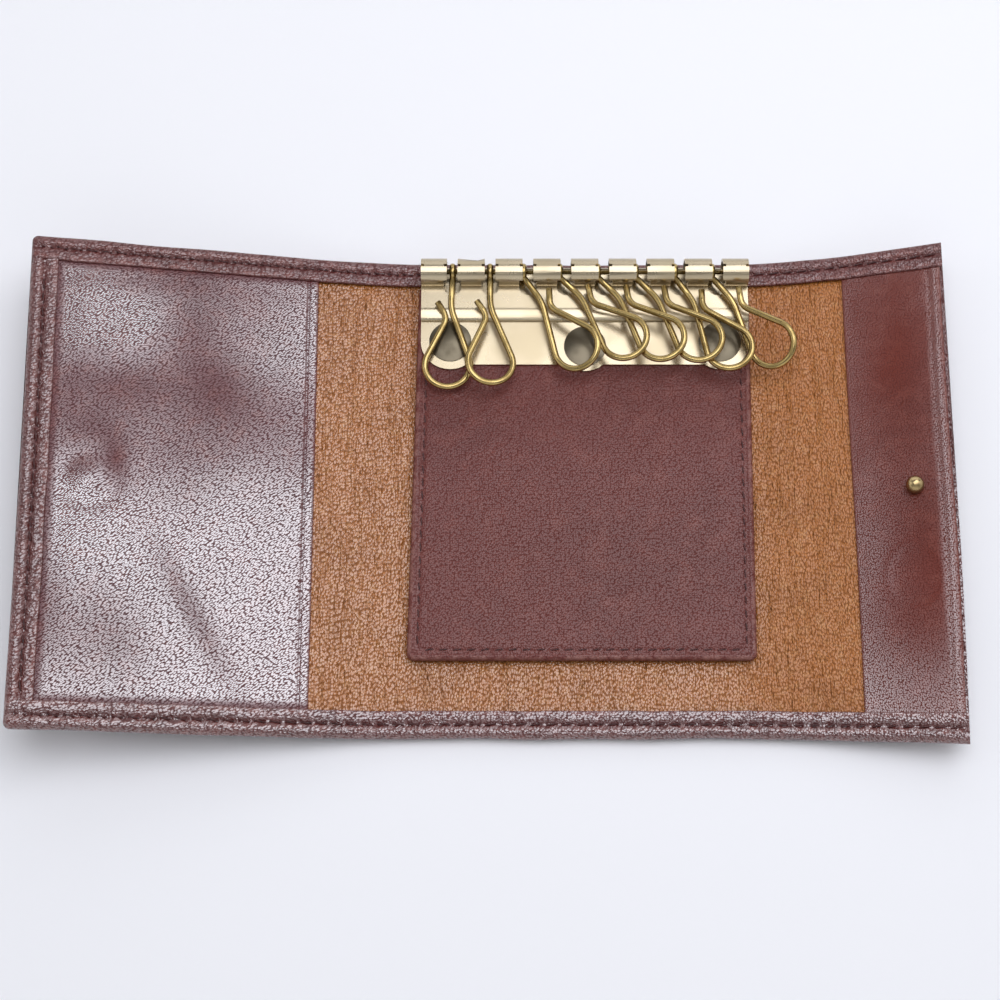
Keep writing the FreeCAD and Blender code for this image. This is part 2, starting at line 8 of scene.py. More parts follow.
import bmesh
import bpy
import numpy as np
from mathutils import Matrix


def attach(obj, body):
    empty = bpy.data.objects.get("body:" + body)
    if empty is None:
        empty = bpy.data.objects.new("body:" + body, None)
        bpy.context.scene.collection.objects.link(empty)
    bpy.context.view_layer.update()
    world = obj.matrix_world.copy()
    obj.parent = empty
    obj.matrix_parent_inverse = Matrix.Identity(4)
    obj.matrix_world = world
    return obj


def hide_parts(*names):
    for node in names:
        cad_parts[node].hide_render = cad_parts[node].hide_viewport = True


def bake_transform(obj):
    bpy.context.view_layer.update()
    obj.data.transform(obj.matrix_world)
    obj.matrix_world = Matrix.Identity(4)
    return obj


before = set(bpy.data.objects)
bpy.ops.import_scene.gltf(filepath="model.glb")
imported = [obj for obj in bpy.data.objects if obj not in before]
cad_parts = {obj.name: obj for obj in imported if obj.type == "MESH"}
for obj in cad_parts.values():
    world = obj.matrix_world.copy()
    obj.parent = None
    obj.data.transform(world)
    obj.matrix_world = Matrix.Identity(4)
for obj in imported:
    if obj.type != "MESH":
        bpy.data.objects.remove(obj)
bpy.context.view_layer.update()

MM = 0.001
EVEN = (1.0, 1.0, 1.0)
LOG = logging.getLogger("key_case")
Triple = tuple[float, float, float]
Pair = tuple[float, float]
Field = np.ndarray | float
Piece = bpy.types.Object
Material = bpy.types.Material
Tree = bpy.types.NodeTree
Node = bpy.types.Node
Socket = bpy.types.NodeSocket


class Side(Enum):
    """The two halves that the case is sewn from, either side of its middle."""

    LEFT = -1
    RIGHT = 1

    @property
    def word(self) -> str:
        """The side as it stands in a piece's name."""
        return self.name.lower()


class Body(str, Enum):
    """The moving bodies that the pieces ride on, apart from the hooks."""

    CENTRE = "centre"
    LEFT_WING = "left_wing"
    RIGHT_FLAP = "right_flap"
    LEAF = "leaf"


class Slot(str, Enum):
    """The record's material slots."""

    COVER = "cover_leather"
    LINING = "lining_leather"
    FACING = "facing_leather"
    LEAF = "leaf_leather"
    FRAME = "frame_brass"
    HOOK = "hook_brass"
    STEEL = "nickel_steel"
    SNAP = "snap_brass"


# Tones, and places and heights on the opened case


def linear(*screen: int) -> Triple:
    """Turns a screen colour, from 0 to 255, into the linear one that a shader takes."""
    shares = (channel / 255 for channel in screen)
    return tuple(c / 12.92 if c <= 0.04045 else ((c + 0.055) / 1.055) ** 2.4 for c in shares)


def ease(low: float, high: float, value: Field) -> Field:
    """Rises smoothly from 0 at low to 1 at high."""
    share = np.clip((value - low) / (high - low), 0, 1)
    return share * share * (3 - 2 * share)


def bell(value: Field, centre: float, width: float) -> Field:
    """Gives a smooth bump of height 1 round its centre."""
    return np.exp(-(((value - centre) / width) ** 2))


def ridges(value: Field, rows: tuple[Triple, ...]) -> Field:
    """Adds up smooth bumps, each given by its height, centre and width."""
    return sum(height * bell(value, centre, width) for height, centre, width in rows)


def evenly(half: float, cell: float) -> np.ndarray:
    """Places lines about a cell apart from -half to half."""
    return np.linspace(-half, half, round(2 * half / cell))


def points(x: Field, y: Field, z: Field) -> np.ndarray:
    """Joins coordinates into points, with a last axis of three."""
    return np.stack(np.broadcast_arrays(x, y, z), axis=-1)


def joined(runs: tuple[tuple, ...], station: np.ndarray) -> tuple[np.ndarray, ...]:
    """Spreads a section's runs of points over its stations and joins them.

    Args:
        runs: Place, height and wear of the points of each run.
        station: A column with one row for each station.

    Returns:
        Place, height and wear by station and point.
    """
    columns = zip(*(np.broadcast_arrays(*run, station)[:3] for run in runs))
    return tuple(np.concatenate(column, axis=1) for column in columns)


class Unevenness:
    """Smooth seeded noise over a plane, for the soft unevenness of leather."""

    TABLE = 64
    SHIFT = (7.3, 3.1)
    PEAK = 1.5

    def __init__(self, seed: int) -> None:
        """Draws the table of heights."""
        self.heights = np.random.default_rng(seed).uniform(-1, 1, (self.TABLE, self.TABLE))

    def one(self, across: Field, along: Field) -> np.ndarray:
        """Reads one layer of noise.

        Args:
            across: First coordinate, one unit to a wave.
            along: Second coordinate, one unit to a wave.

        Returns:
            Heights from -1 to 1.
        """
        across, along = np.broadcast_arrays(np.asarray(across, float), np.asarray(along, float))
        col, row = np.floor(across).astype(int), np.floor(along).astype(int)
        u, v = across - col, along - row
        u, v = u * u * (3 - 2 * u), v * v * (3 - 2 * v)
        table, size = self.heights, self.TABLE
        low = table[row % size, col % size] * (1 - u) + table[row % size, (col + 1) % size] * u
        row = row + 1
        high = table[row % size, col % size] * (1 - u) + table[row % size, (col + 1) % size] * u
        return low * (1 - v) + high * v

    def layered(self, across: Field, along: Field, layers: int = 2) -> np.ndarray:
        """Adds finer and weaker layers of noise.

        Args:
            across: First coordinate.
            along: Second coordinate.
            layers: How many layers are added.

        Returns:
            Heights from about -1 to 1.
        """
        first, second = self.SHIFT
        finer = ((2**n, first * n, second * n) for n in range(layers))
        return sum(self.one(across * k + a, along * k + b) / k for k, a, b in finer) / self.PEAK


@dataclass(frozen=True)
class Fold:
    """A soft fold as it lies at rest, in millimetres and degrees."""

    side: int
    start: float
    radius: float
    angle: float

    @property
    def turn(self) -> float:
        """The fold's angle in radians."""
        return math.radians(self.angle)

    @property
    def end(self) -> float:
        """The flat distance at which the fold ends."""
        return self.start + self.radius * self.turn

    def span(self) -> tuple[Triple, Triple]:
        """Gives where the bend starts and ends at rest.

        Returns:
            The two places, in metres.
        """
        end_x = self.start + self.radius * math.sin(self.turn)
        end_z = self.radius * (1 - math.cos(self.turn))
        return (self.side * self.start * MM, 0, 0), (self.side * end_x * MM, 0, end_z * MM)


@dataclass(frozen=True)
class Lay:
    """Carries flat places on the opened case to where they lie at rest."""

    left: Fold = Fold(-1, 31.1, 98.37, 11.3)
    right: Fold = Fold(1, 29.4, 97.05, 14.0)
    half_height: float = 50.0
    left_tip: float = 111.8
    right_tip: float = 73.4
    left_skew: Pair = (1.1, 0.3)
    left_droop: float = -0.9
    high_corner: Triple = (0.8, 1.4, 0.0)
    low_corner: Triple = (-0.7, -2.0, -2.4)
    level_part: float = 0.16
    creep_along: float = 1.5
    creep_up: float = 1.4

    def fold(self, side: Side) -> Fold:
        """The fold on that side."""
        return self.left if side is Side.LEFT else self.right

    def place(self, along: Field, up: Field, height: Field) -> np.ndarray:
        """Bends flat places round the two folds.

        Args:
            along: Flat distance from the case's middle, negative on the left.
            up: Distance up the case.
            height: Height over the case's outer face.

        Returns:
            Points in millimetres, with a last axis of three.
        """
        along, up, height = np.broadcast_arrays(*(np.asarray(a, float) for a in (along, up, height)))
        x, z = along.copy(), height.copy()
        for bend in (self.left, self.right):
            reach = along * bend.side
            past = reach > bend.start
            phi = np.clip((reach - bend.start) / bend.radius, 0, bend.turn)
            extra = np.clip(reach - bend.end, 0, None)
            bent_x = bend.start + (bend.radius - height) * np.sin(phi) + extra * np.cos(phi)
            bent_z = bend.radius - (bend.radius - height) * np.cos(phi) + extra * np.sin(phi)
            x = np.where(past, bend.side * bent_x, x)
            z = np.where(past, bent_z, z)
        return np.stack([x, up, z], axis=-1) + self.twist(along, up)

    def twist(self, along: np.ndarray, up: np.ndarray) -> np.ndarray:
        """Gives how far the soft wings' outer corners have crept from square.

        Args:
            along: Flat distance from the case's middle, negative on the left.
            up: Distance up the case.

        Returns:
            Offsets in millimetres, with a last axis of three.
        """
        share = up / self.half_height
        left = np.clip((-along - self.left.start) / (self.left_tip - self.left.start), 0, 1)
        right = np.clip((along - self.right.start) / (self.right_tip - self.right.start), 0, 1)
        skew = -left * (self.left_skew[0] * share + self.left_skew[1] * share**2)
        droop = self.left_droop * left * np.clip(-share, 0, 1)
        moved = np.stack([skew, droop, 0 * skew], axis=-1)
        for corner, side in ((self.high_corner, 1), (self.low_corner, -1)):
            near = np.clip((side * share - self.level_part) / (1 - self.level_part), 0, 1)
            moved = moved + (right**self.creep_along * near**self.creep_up)[..., None] * np.array(corner)
        return moved


LAY = Lay()


@dataclass(frozen=True)
class DullPatch:
    """A soft-edged oval where the leather's gloss is cut, a painted dark zone in its sheen."""

    along: float
    up: float
    long: float
    wide: float
    lean: float
    loss: float

    def kept(self, along: np.ndarray, up: np.ndarray) -> np.ndarray:
        """Gives the share of the gloss that is left, low where the painted dark zone lies.

        Args:
            along: Flat distance from the case's middle.
            up: Distance up the case.

        Returns:
            Shares from 0 to 1.
        """
        turn = math.radians(self.lean)
        ahead = (along - self.along) * math.cos(turn) + (up - self.up) * math.sin(turn)
        aside = (up - self.up) * math.cos(turn) - (along - self.along) * math.sin(turn)
        return 1 - self.loss * np.exp(-((ahead / self.long) ** 2) - (aside / self.wide) ** 2)


# Meshes, and how pieces are put on their bodies


class Shell:
    """Points and faces of a piece before it becomes a mesh."""

    def __init__(self) -> None:
        """Starts with nothing."""
        self.points: list[np.ndarray] = []
        self.faces: list[list[int]] = []
        self.wear: list[np.ndarray] = []
        self.sheen: list[np.ndarray] = []
        self.count = 0

    def add(self, points: np.ndarray, wear: Field = 0.0, sheen: Field = 1.0) -> np.ndarray:
        """Adds points.

        Args:
            points: Points in millimetres, with a last axis of three.
            wear: How worn each point is, from 0 to 1.
            sheen: How much gloss each point keeps, a painted map of where the lamps' sheen shows, from 0 to
                1.

        Returns:
            The points' numbers, in the same grid.
        """
        shape = points.shape[:-1]
        size = int(np.prod(shape))
        self.points.append(points.reshape(-1, 3))
        for kept, values in ((self.wear, wear), (self.sheen, sheen)):
            kept.append(np.broadcast_to(np.asarray(values, float), shape).reshape(-1))
        numbers = np.arange(self.count, self.count + size).reshape(shape)
        self.count += size
        return numbers

    def quads(self, *corners: np.ndarray) -> None:
        """Adds one face for each four numbers, given corner by corner."""
        self.faces.extend(np.stack(corners, axis=-1).reshape(-1, 4).tolist())

    def slab(self, top: np.ndarray, bottom: np.ndarray, wear: Field = 0.0, sheen: Field = 1.0) -> None:
        """Adds a closed slab between two grids of points.

        Args:
            top: Grid of upper points.
            bottom: Grid of lower points, of the same shape.
            wear: How worn each upper point is.
            sheen: How glossy each upper point is.
        """
        high, low = self.add(top, wear, sheen), self.add(bottom)
        self.quads(high[:-1, :-1], high[1:, :-1], high[1:, 1:], high[:-1, 1:])
        self.quads(low[:-1, :-1], low[:-1, 1:], low[1:, 1:], low[1:, :-1])
        for upper, lower in ((high[0], low[0]), (high[:, -1], low[:, -1])):
            self.quads(upper[:-1], upper[1:], lower[1:], lower[:-1])
        for upper, lower in ((high[-1], low[-1]), (high[:, 0], low[:, 0])):
            self.quads(upper[1:], upper[:-1], lower[:-1], lower[1:])

    def loft(self, rings: np.ndarray, wear: Field = 0.0, sheen: Field = 1.0) -> None:
        """Adds a closed tube through rings of points, with its ends closed.

        Args:
            rings: Points by ring and place round it.
            wear: How worn each point is.
            sheen: How glossy each point is.
        """
        numbers = self.add(rings, wear, sheen)
        after = np.roll(numbers, -1, axis=1)
        self.quads(numbers[:-1], after[:-1], after[1:], numbers[1:])
        self.faces.append(numbers[0, ::-1].tolist())
        self.faces.append(numbers[-1].tolist())

    def piece(self, name: str, material: Material, sharp: float = 60.0) -> Piece:
        """Makes the object.

        Args:
            name: The piece's name.
            material: Its finish.
            sharp: Edges that turn by more degrees stay sharp.

        Returns:
            The new object, at the origin.
        """
        mesh = bpy.data.meshes.new(name)
        mesh.from_pydata((np.concatenate(self.points) * MM).tolist(), [], self.faces)
        for mark, values in (("wear", self.wear), ("sheen", self.sheen)):
            marks = mesh.attributes.new(mark, "FLOAT", "POINT")
            marks.data.foreach_set("value", np.concatenate(values).astype(np.float32))
        work = bmesh.new()
        work.from_mesh(mesh)
        bmesh.ops.recalc_face_normals(work, faces=work.faces)
        work.to_mesh(mesh)
        work.free()
        return dressed(mesh, name, material, sharp)


def in_scene(name: str, data: bpy.types.ID) -> Piece:
    """Puts a mesh, lamp or camera in the scene.

    Args:
        name: The object's name.
        data: What it shows.

    Returns:
        The new object.
    """
    thing = bpy.data.objects.new(name, data)
    bpy.context.scene.collection.objects.link(thing)
    return thing


def dressed(mesh: bpy.types.Mesh, name: str, material: Material, sharp: float) -> Piece:
    """Shades a mesh, gives it its finish and puts it in the scene.

    Args:
        mesh: The mesh.
        name: The piece's name.
        material: Its finish.
        sharp: Edges that turn by more degrees stay sharp.

    Returns:
        The new object.
    """
    mesh.shade_smooth()
    mesh.set_sharp_from_angle(angle=math.radians(sharp))
    mesh.materials.clear()
    mesh.materials.append(material)
    return in_scene(name, mesh)


def seated(piece: Piece, body: str, slot: Slot, *nodes: str) -> Piece:
    """Gives a finished piece to its body and hides the nodes that it stands for.

    Args:
        piece: The piece.
        body: The body that it rides on.
        slot: Its material slot; not used.
        nodes: The nodes that it stands for.

    Returns:
        The piece.
    """
    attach(piece, body)
    if nodes:
        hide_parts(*nodes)
    return piece


def wing(side: Side) -> Body:
    """The body outside the fold on that side."""
    return Body.LEFT_WING if side is Side.LEFT else Body.RIGHT_FLAP


def panels(stem: str, side: Side) -> tuple[str, ...]:
    """Names the nodes of a sheet that its half stands for."""
    inner = (f"{stem}_centre",) if side is Side.LEFT else ()
    return (*inner, f"{stem}_{side.word}_fold", f"{stem}_{wing(side).value}")


def folded(piece: Piece, side: Side, slot: Slot, *nodes: str) -> Piece:
    """Bakes a piece's placement into its mesh and hides the nodes that it stands for.

    Args:
        piece: The piece.
        side: The half of the case that it lies on.
        slot: Its material slot; not used.
        nodes: The nodes that it stands for.

    Returns:
        The piece.
    """
    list(LAY.fold(side).span())
    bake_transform(piece)
    if nodes:
        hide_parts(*nodes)
    return piece


def report(piece: Piece) -> Piece:
    """Logs a finished piece and hands it back."""
    LOG.info("%s: %d faces", piece.name, len(piece.data.polygons))
    return piece


# Shader groups that the finishes share


class Nodes:
    """Adds nodes to a node tree and wires them."""

    def __init__(self, tree: Tree) -> None:
        """Takes the tree to add to."""
        self.tree = tree

    def give(self, socket: Socket, value: object) -> None:
        """Wires an input to another socket, or sets its value.

        Args:
            socket: The input.
            value: A socket, number, vector or colour.
        """
        if isinstance(value, bpy.types.NodeSocket):
            self.tree.links.new(value, socket)
        elif socket.type == "RGBA" and len(value) == 3:
            socket.default_value = (*value, 1.0)
        else:
            socket.default_value = value

    def feed(self, node: Node, **values: object) -> None:
        """Gives a node's inputs by their names, with _ for a space."""
        for key, value in values.items():
            self.give(node.inputs[key.replace("_", " ")], value)

    def add(self, kind: str, **settings: object) -> Node:
        """Adds a node.

        Args:
            kind: The node's type.
            settings: Properties, or inputs by their names with _ for a space.

        Returns:
            The node.
        """
        node = self.tree.nodes.new(kind)
        for key, value in settings.items():
            if hasattr(node, key):
                setattr(node, key, value)
            else:
                self.feed(node, **{key: value})
        return node

    def put(self, kind: str, *values: object, **settings: object) -> Socket:
        """Adds a node for the sake of its first output.

        Args:
            kind: The node's type.
            values: What its first inputs get, in order.
            settings: Properties and inputs by name, as for add.

        Returns:
            The first output.
        """
        node = self.add(kind, **settings)
        for socket, value in zip(node.inputs, values):
            self.give(socket, value)
        return node.outputs[0]

    def group(self, tree: Tree, **values: object) -> bpy.types.NodeOutputs:
        """Places a shared group with these inputs and returns its outputs."""
        return self.add("ShaderNodeGroup", node_tree=tree, **values).outputs

    def place(self) -> Socket:
        """The piece's own coordinates."""
        return self.add("ShaderNodeTexCoord").outputs["Object"]

    def maths(self, operation: str, *values: object) -> Socket:
        """Adds a sum of numbers or sockets and returns its result."""
        return self.put("ShaderNodeMath", *values, operation=operation)

    def vectors(self, operation: str, *values: object) -> Socket:
        """Adds a sum of vectors or sockets and returns its result."""
        return self.put("ShaderNodeVectorMath", *values, operation=operation)

    def waves(self, size: Socket) -> Socket:
        """Turns a size in metres into waves to a metre."""
        return self.maths("DIVIDE", 1.0, size)

    def noise(self, place: Socket, waves: object, detail: float = 2.0) -> Socket:
        """Adds noise with so many waves to a metre and so many finer layers."""
        return self.put("ShaderNodeTexNoise", Vector=place, Scale=waves, Detail=detail)

    def spread(self, value: Socket, low: float, high: float, to: Pair = (0.0, 1.0)) -> Socket:
        """Maps the range from low to high smoothly onto another."""
        return self.put("ShaderNodeMapRange", value, low, high, *to, interpolation_type="SMOOTHSTEP")

    def bump(self, depth: float, height: Socket, **settings: object) -> Socket:
        """Adds a bump of that depth in metres and returns its normal."""
        return self.put("ShaderNodeBump", Strength=1.0, Distance=depth, Height=height, **settings)

    def mix(self, share: object, first: object, second: object) -> Socket:
        """Mixes two colours.

        Args:
            share: How much of the second, a number or socket.
            first: A colour or socket.
            second: A colour or socket.

        Returns:
            The colour's socket.
        """
        node = self.add("ShaderNodeMix", data_type="RGBA")
        share_at, first_at, second_at = 0, 6, 7
        for at, value in ((share_at, share), (first_at, first), (second_at, second)):
            self.give(node.inputs[at], value)
        return node.outputs[2]

    def leave(self, **outputs: Socket) -> Tree:
        """Closes a group with these outputs, where Color is a colour and the rest are numbers.

        Args:
            outputs: What each output gives.

        Returns:
            The group.
        """
        for key in outputs:
            kind = "NodeSocketColor" if key == "Color" else "NodeSocketFloat"
            self.tree.interface.new_socket(key, in_out="OUTPUT", socket_type=kind)
        self.feed(self.add("NodeGroupOutput"), **outputs)
        return self.tree


def new_group(name: str, **inputs: object) -> tuple[Nodes, bpy.types.NodeOutputs]:
    """Starts a shader group.

    Args:
        name: The group's name.
        inputs: Default values by socket name: numbers, vectors of three or colours of four.

    Returns:
        The node adder and the group's input sockets by name.
    """
    nodes = Nodes(bpy.data.node_groups.new(name, "ShaderNodeTree"))
    kinds = {3: "NodeSocketVector", 4: "NodeSocketColor"}
    for key, value in inputs.items():
        kind = kinds[len(value)] if isinstance(value, tuple) else "NodeSocketFloat"
        nodes.tree.interface.new_socket(key, in_out="INPUT", socket_type=kind).default_value = value
    return nodes, nodes.add("NodeGroupInput").outputs


def grain_group() -> Tree:
    """Pebbles of leather grain with creases between them, from Object coordinates.

    Returns:
        The group.
    """
    drift_waves, scatter, dome_fall, finer = 260.0, 0.85, -2.8, 1.3
    crease_from, crease_to = 0.3, 0.6
    nodes, entry = new_group("leather_grain", Cell=0.0006, Stretch=EVEN, Lean=0.0, Warp=0.0005, Fine=0.3)
    place = nodes.place()
    rise = nodes.add("ShaderNodeSeparateXYZ", Vector=place).outputs["Z"]
    place = nodes.vectors("ADD", place, nodes.put("ShaderNodeCombineXYZ", X=rise, Y=rise))
    place = nodes.put("ShaderNodeVectorRotate", rotation_type="Z_AXIS", Vector=place, Angle=entry["Lean"])
    place = nodes.vectors("MULTIPLY", place, entry["Stretch"])
    drift = nodes.add("ShaderNodeTexNoise", Vector=place, Scale=drift_waves, Detail=2.0).outputs["Color"]
    drift = nodes.vectors("SUBTRACT", drift, (0.5, 0.5, 0.5))
    drift = nodes.put("ShaderNodeVectorMath", drift, operation="SCALE", Scale=entry["Warp"])
    place = nodes.vectors("ADD", place, drift)
    waves = nodes.waves(entry["Cell"])
    plane = dict(voronoi_dimensions="2D", feature="F1")
    cells = nodes.add("ShaderNodeTexVoronoi", **plane, Vector=place, Scale=waves, Randomness=scatter)
    away = cells.outputs["Distance"]
    dome = nodes.maths("MULTIPLY_ADD", nodes.maths("MULTIPLY", away, away), dome_fall, 1.0)
    fine = nodes.noise(place, nodes.maths("MULTIPLY", waves, finer))
    height = nodes.maths("MULTIPLY_ADD", fine, entry["Fine"], dome)
    return nodes.leave(Height=height, Crease=nodes.spread(away, crease_from, crease_to))


def wrinkle_group() -> Tree:
    """Soft wrinkles that run mostly one way, from Object coordinates.

    Returns:
        The group.
    """
    ridge_width = 0.16
    nodes, entry = new_group("soft_wrinkles", Size=0.006, Stretch=EVEN, Bend=0.8)
    place = nodes.vectors("MULTIPLY", nodes.place(), entry["Stretch"])
    shape = dict(Scale=nodes.waves(entry["Size"]), Detail=3.0, Distortion=entry["Bend"])
    wave = nodes.put("ShaderNodeTexNoise", Vector=place, **shape)
    ridge = nodes.maths("ABSOLUTE", nodes.maths("SUBTRACT", wave, 0.5))
    return nodes.leave(Height=nodes.spread(ridge, 0.0, ridge_width))


def tone_group() -> Tree:
    """Patchy dye: a tone that drifts to a darker and a lighter one.

    Returns:
        The group.
    """
    finer, lightest, broad_range, small_range = 7.0, 0.7, (0.42, 0.7), (0.45, 0.75)
    tones = dict(Tone=(0.5, 0.5, 0.5, 1.0), Dark=(0.2, 0.2, 0.2, 1.0), Light=(0.8, 0.8, 0.8, 1.0))
    nodes, entry = new_group("patchy_dye", **tones, Patch=0.02, Amount=0.4)
    place, waves = nodes.place(), nodes.waves(entry["Patch"])
    broad = nodes.spread(nodes.noise(place, waves, 4.0), *broad_range)
    small = nodes.noise(place, nodes.maths("MULTIPLY", waves, finer), 3.0)
    small = nodes.spread(small, *small_range, (0.0, lightest))
    colour = nodes.mix(nodes.maths("MULTIPLY", broad, entry["Amount"]), entry["Tone"], entry["Dark"])
    return nodes.leave(Color=nodes.mix(small, colour, entry["Light"]))


def wear_group() -> Tree:
    """Broken rubbing along the edges that a piece marks as worn.

    Returns:
        The group.
    """
    break_range = (0.35, 0.65)
    nodes, entry = new_group("edge_wear", Amount=1.0, Break=0.0015)
    marked = nodes.add("ShaderNodeAttribute", attribute_name="wear").outputs["Fac"]
    broken = nodes.spread(nodes.noise(nodes.place(), nodes.waves(entry["Break"]), 3.0), *break_range)
    return nodes.leave(Mask=nodes.maths("MULTIPLY", nodes.maths("MULTIPLY", marked, broken), entry["Amount"]))


def age_group() -> Tree:
    """Tarnish and fine rubbing on metal, from Object coordinates.

    Returns:
        The group.
    """
    patch_range = (0.4, 0.72)
    nodes, entry = new_group("metal_age", Patch=0.004, Stretch=EVEN, Fine=0.0002)
    place = nodes.place()
    patches = nodes.spread(nodes.noise(place, nodes.waves(entry["Patch"]), 4.0), *patch_range)
    lines = nodes.vectors("MULTIPLY", place, entry["Stretch"])
    return nodes.leave(Tarnish=patches, Brush=nodes.noise(lines, nodes.waves(entry["Fine"])))


class Shared:
    """The shader groups, each built once."""

    grain = grain_group()
    wrinkles = wrinkle_group()
    dye = tone_group()
    wear = wear_group()
    age = age_group()


# Finishes


def start_material(name: str) -> tuple[Material, Nodes, Node]:
    """Starts a material.

    Args:
        name: The material's name.

    Returns:
        The material, its node adder and its shader.
    """
    made = bpy.data.materials.new(name)
    made.use_nodes = True
    return made, Nodes(made.node_tree), made.node_tree.nodes["Principled BSDF"]


@dataclass(frozen=True)
class LeatherFinish:
    """A dyed and dressed leather, with sizes in metres."""

    name: str
    tone: Triple
    dark: Triple
    light: Triple
    worn: Triple
    roughness: Pair = (0.4, 0.55)
    gloss: float = 0.3
    coat: float = 1.0
    coat_roughness: float = 0.13
    coat_ior: float = 2.3
    crease_dull: float = 0.8
    crease_share: float = 0.4
    cell: float = 0.00052
    warp: float = 0.8
    stretch: Triple = EVEN
    lean: float = 0.0
    grain_depth: float = 0.00004
    wrinkle_size: float = 0.003
    wrinkle_stretch: Triple = EVEN
    wrinkle_depth: float = 0.00012
    patch: float = 0.02
    patchiness: float = 0.2
    wear_amount: float = 0.6

    def material(self) -> Material:
        """Builds the material.

        Returns:
            The material.
        """
        made, nodes, shader = start_material(self.name)
        pebbles = dict(Cell=self.cell, Stretch=self.stretch, Lean=self.lean, Warp=self.cell * self.warp)
        grain = nodes.group(Shared.grain, **pebbles)
        wrinkles = nodes.group(Shared.wrinkles, Size=self.wrinkle_size, Stretch=self.wrinkle_stretch)
        tones = dict(Tone=self.tone, Dark=self.dark, Light=self.light)
        dye = nodes.group(Shared.dye, **tones, Patch=self.patch, Amount=self.patchiness)
        wear = nodes.group(Shared.wear, Amount=self.wear_amount)
        crease = grain["Crease"]
        # Painted shade: the colour darkens towards the dark tone in the grain's creases.
        colour = nodes.mix(nodes.maths("MULTIPLY", crease, self.crease_share), dye["Color"], self.dark)
        smooth, rough = self.roughness
        folds = nodes.bump(self.wrinkle_depth, wrinkles["Height"])
        normal = nodes.bump(self.grain_depth, grain["Height"], Normal=folds)
        kept = nodes.add("ShaderNodeAttribute", attribute_name="sheen").outputs["Fac"]
        # Painted shade: the creases lose their coat gloss, and the coat follows the painted sheen map.
        tops = nodes.maths("MULTIPLY_ADD", crease, -self.crease_dull, 1.0)
        nodes.feed(
            shader, Base_Color=nodes.mix(wear["Mask"], colour, self.worn), Normal=normal, Coat_Normal=normal,
            Roughness=nodes.maths("MULTIPLY_ADD", crease, rough - smooth, smooth),
            Coat_Weight=nodes.maths("MULTIPLY", nodes.maths("MULTIPLY", kept, self.coat), tops),
            Specular_IOR_Level=self.gloss, Coat_Roughness=self.coat_roughness, Coat_IOR=self.coat_ior,
        )
        return made


@dataclass(frozen=True)
class MetalFinish:
    """A plated or bare metal, with sizes in metres."""

    name: str
    tone: Triple
    tarnish: Triple
    roughness: Pair
    patch: float = 0.004
    brush_stretch: Triple = EVEN
    brush_size: float = 0.0002
    brush_depth: float = 0.000004
    tarnish_share: float = 0.6

    def material(self) -> Material:
        """Builds the material.

        Returns:
            The material.
        """
        made, nodes, shader = start_material(self.name)
        age = nodes.group(Shared.age, Patch=self.patch, Stretch=self.brush_stretch, Fine=self.brush_size)
        share = nodes.maths("MULTIPLY", age["Tarnish"], self.tarnish_share)
        nodes.feed(
            shader, Base_Color=nodes.mix(share, self.tone, self.tarnish), Metallic=1.0,
            Roughness=nodes.spread(age["Tarnish"], 0.0, 1.0, self.roughness),
            Normal=nodes.bump(self.brush_depth, age["Brush"]),
        )
        return made


@dataclass(frozen=True)
class ThreadFinish:
    """A twisted sewing thread, with sizes in metres."""

    name: str
    tone: Triple
    dark: Triple
    twist: float = 0.00025
    twist_depth: float = 0.00006
    patch: float = 0.00075
    roughness: float = 0.6

    def material(self) -> Material:
        """Builds the material.

        Returns:
            The material.
        """
        made, nodes, shader = start_material(self.name)
        age = nodes.group(Shared.age, Patch=self.patch, Fine=self.twist)
        colour = nodes.mix(age["Tarnish"], self.tone, self.dark)
        twist = nodes.bump(self.twist_depth, age["Brush"])
        nodes.feed(shader, Base_Color=colour, Normal=twist, Roughness=self.roughness)
        return made


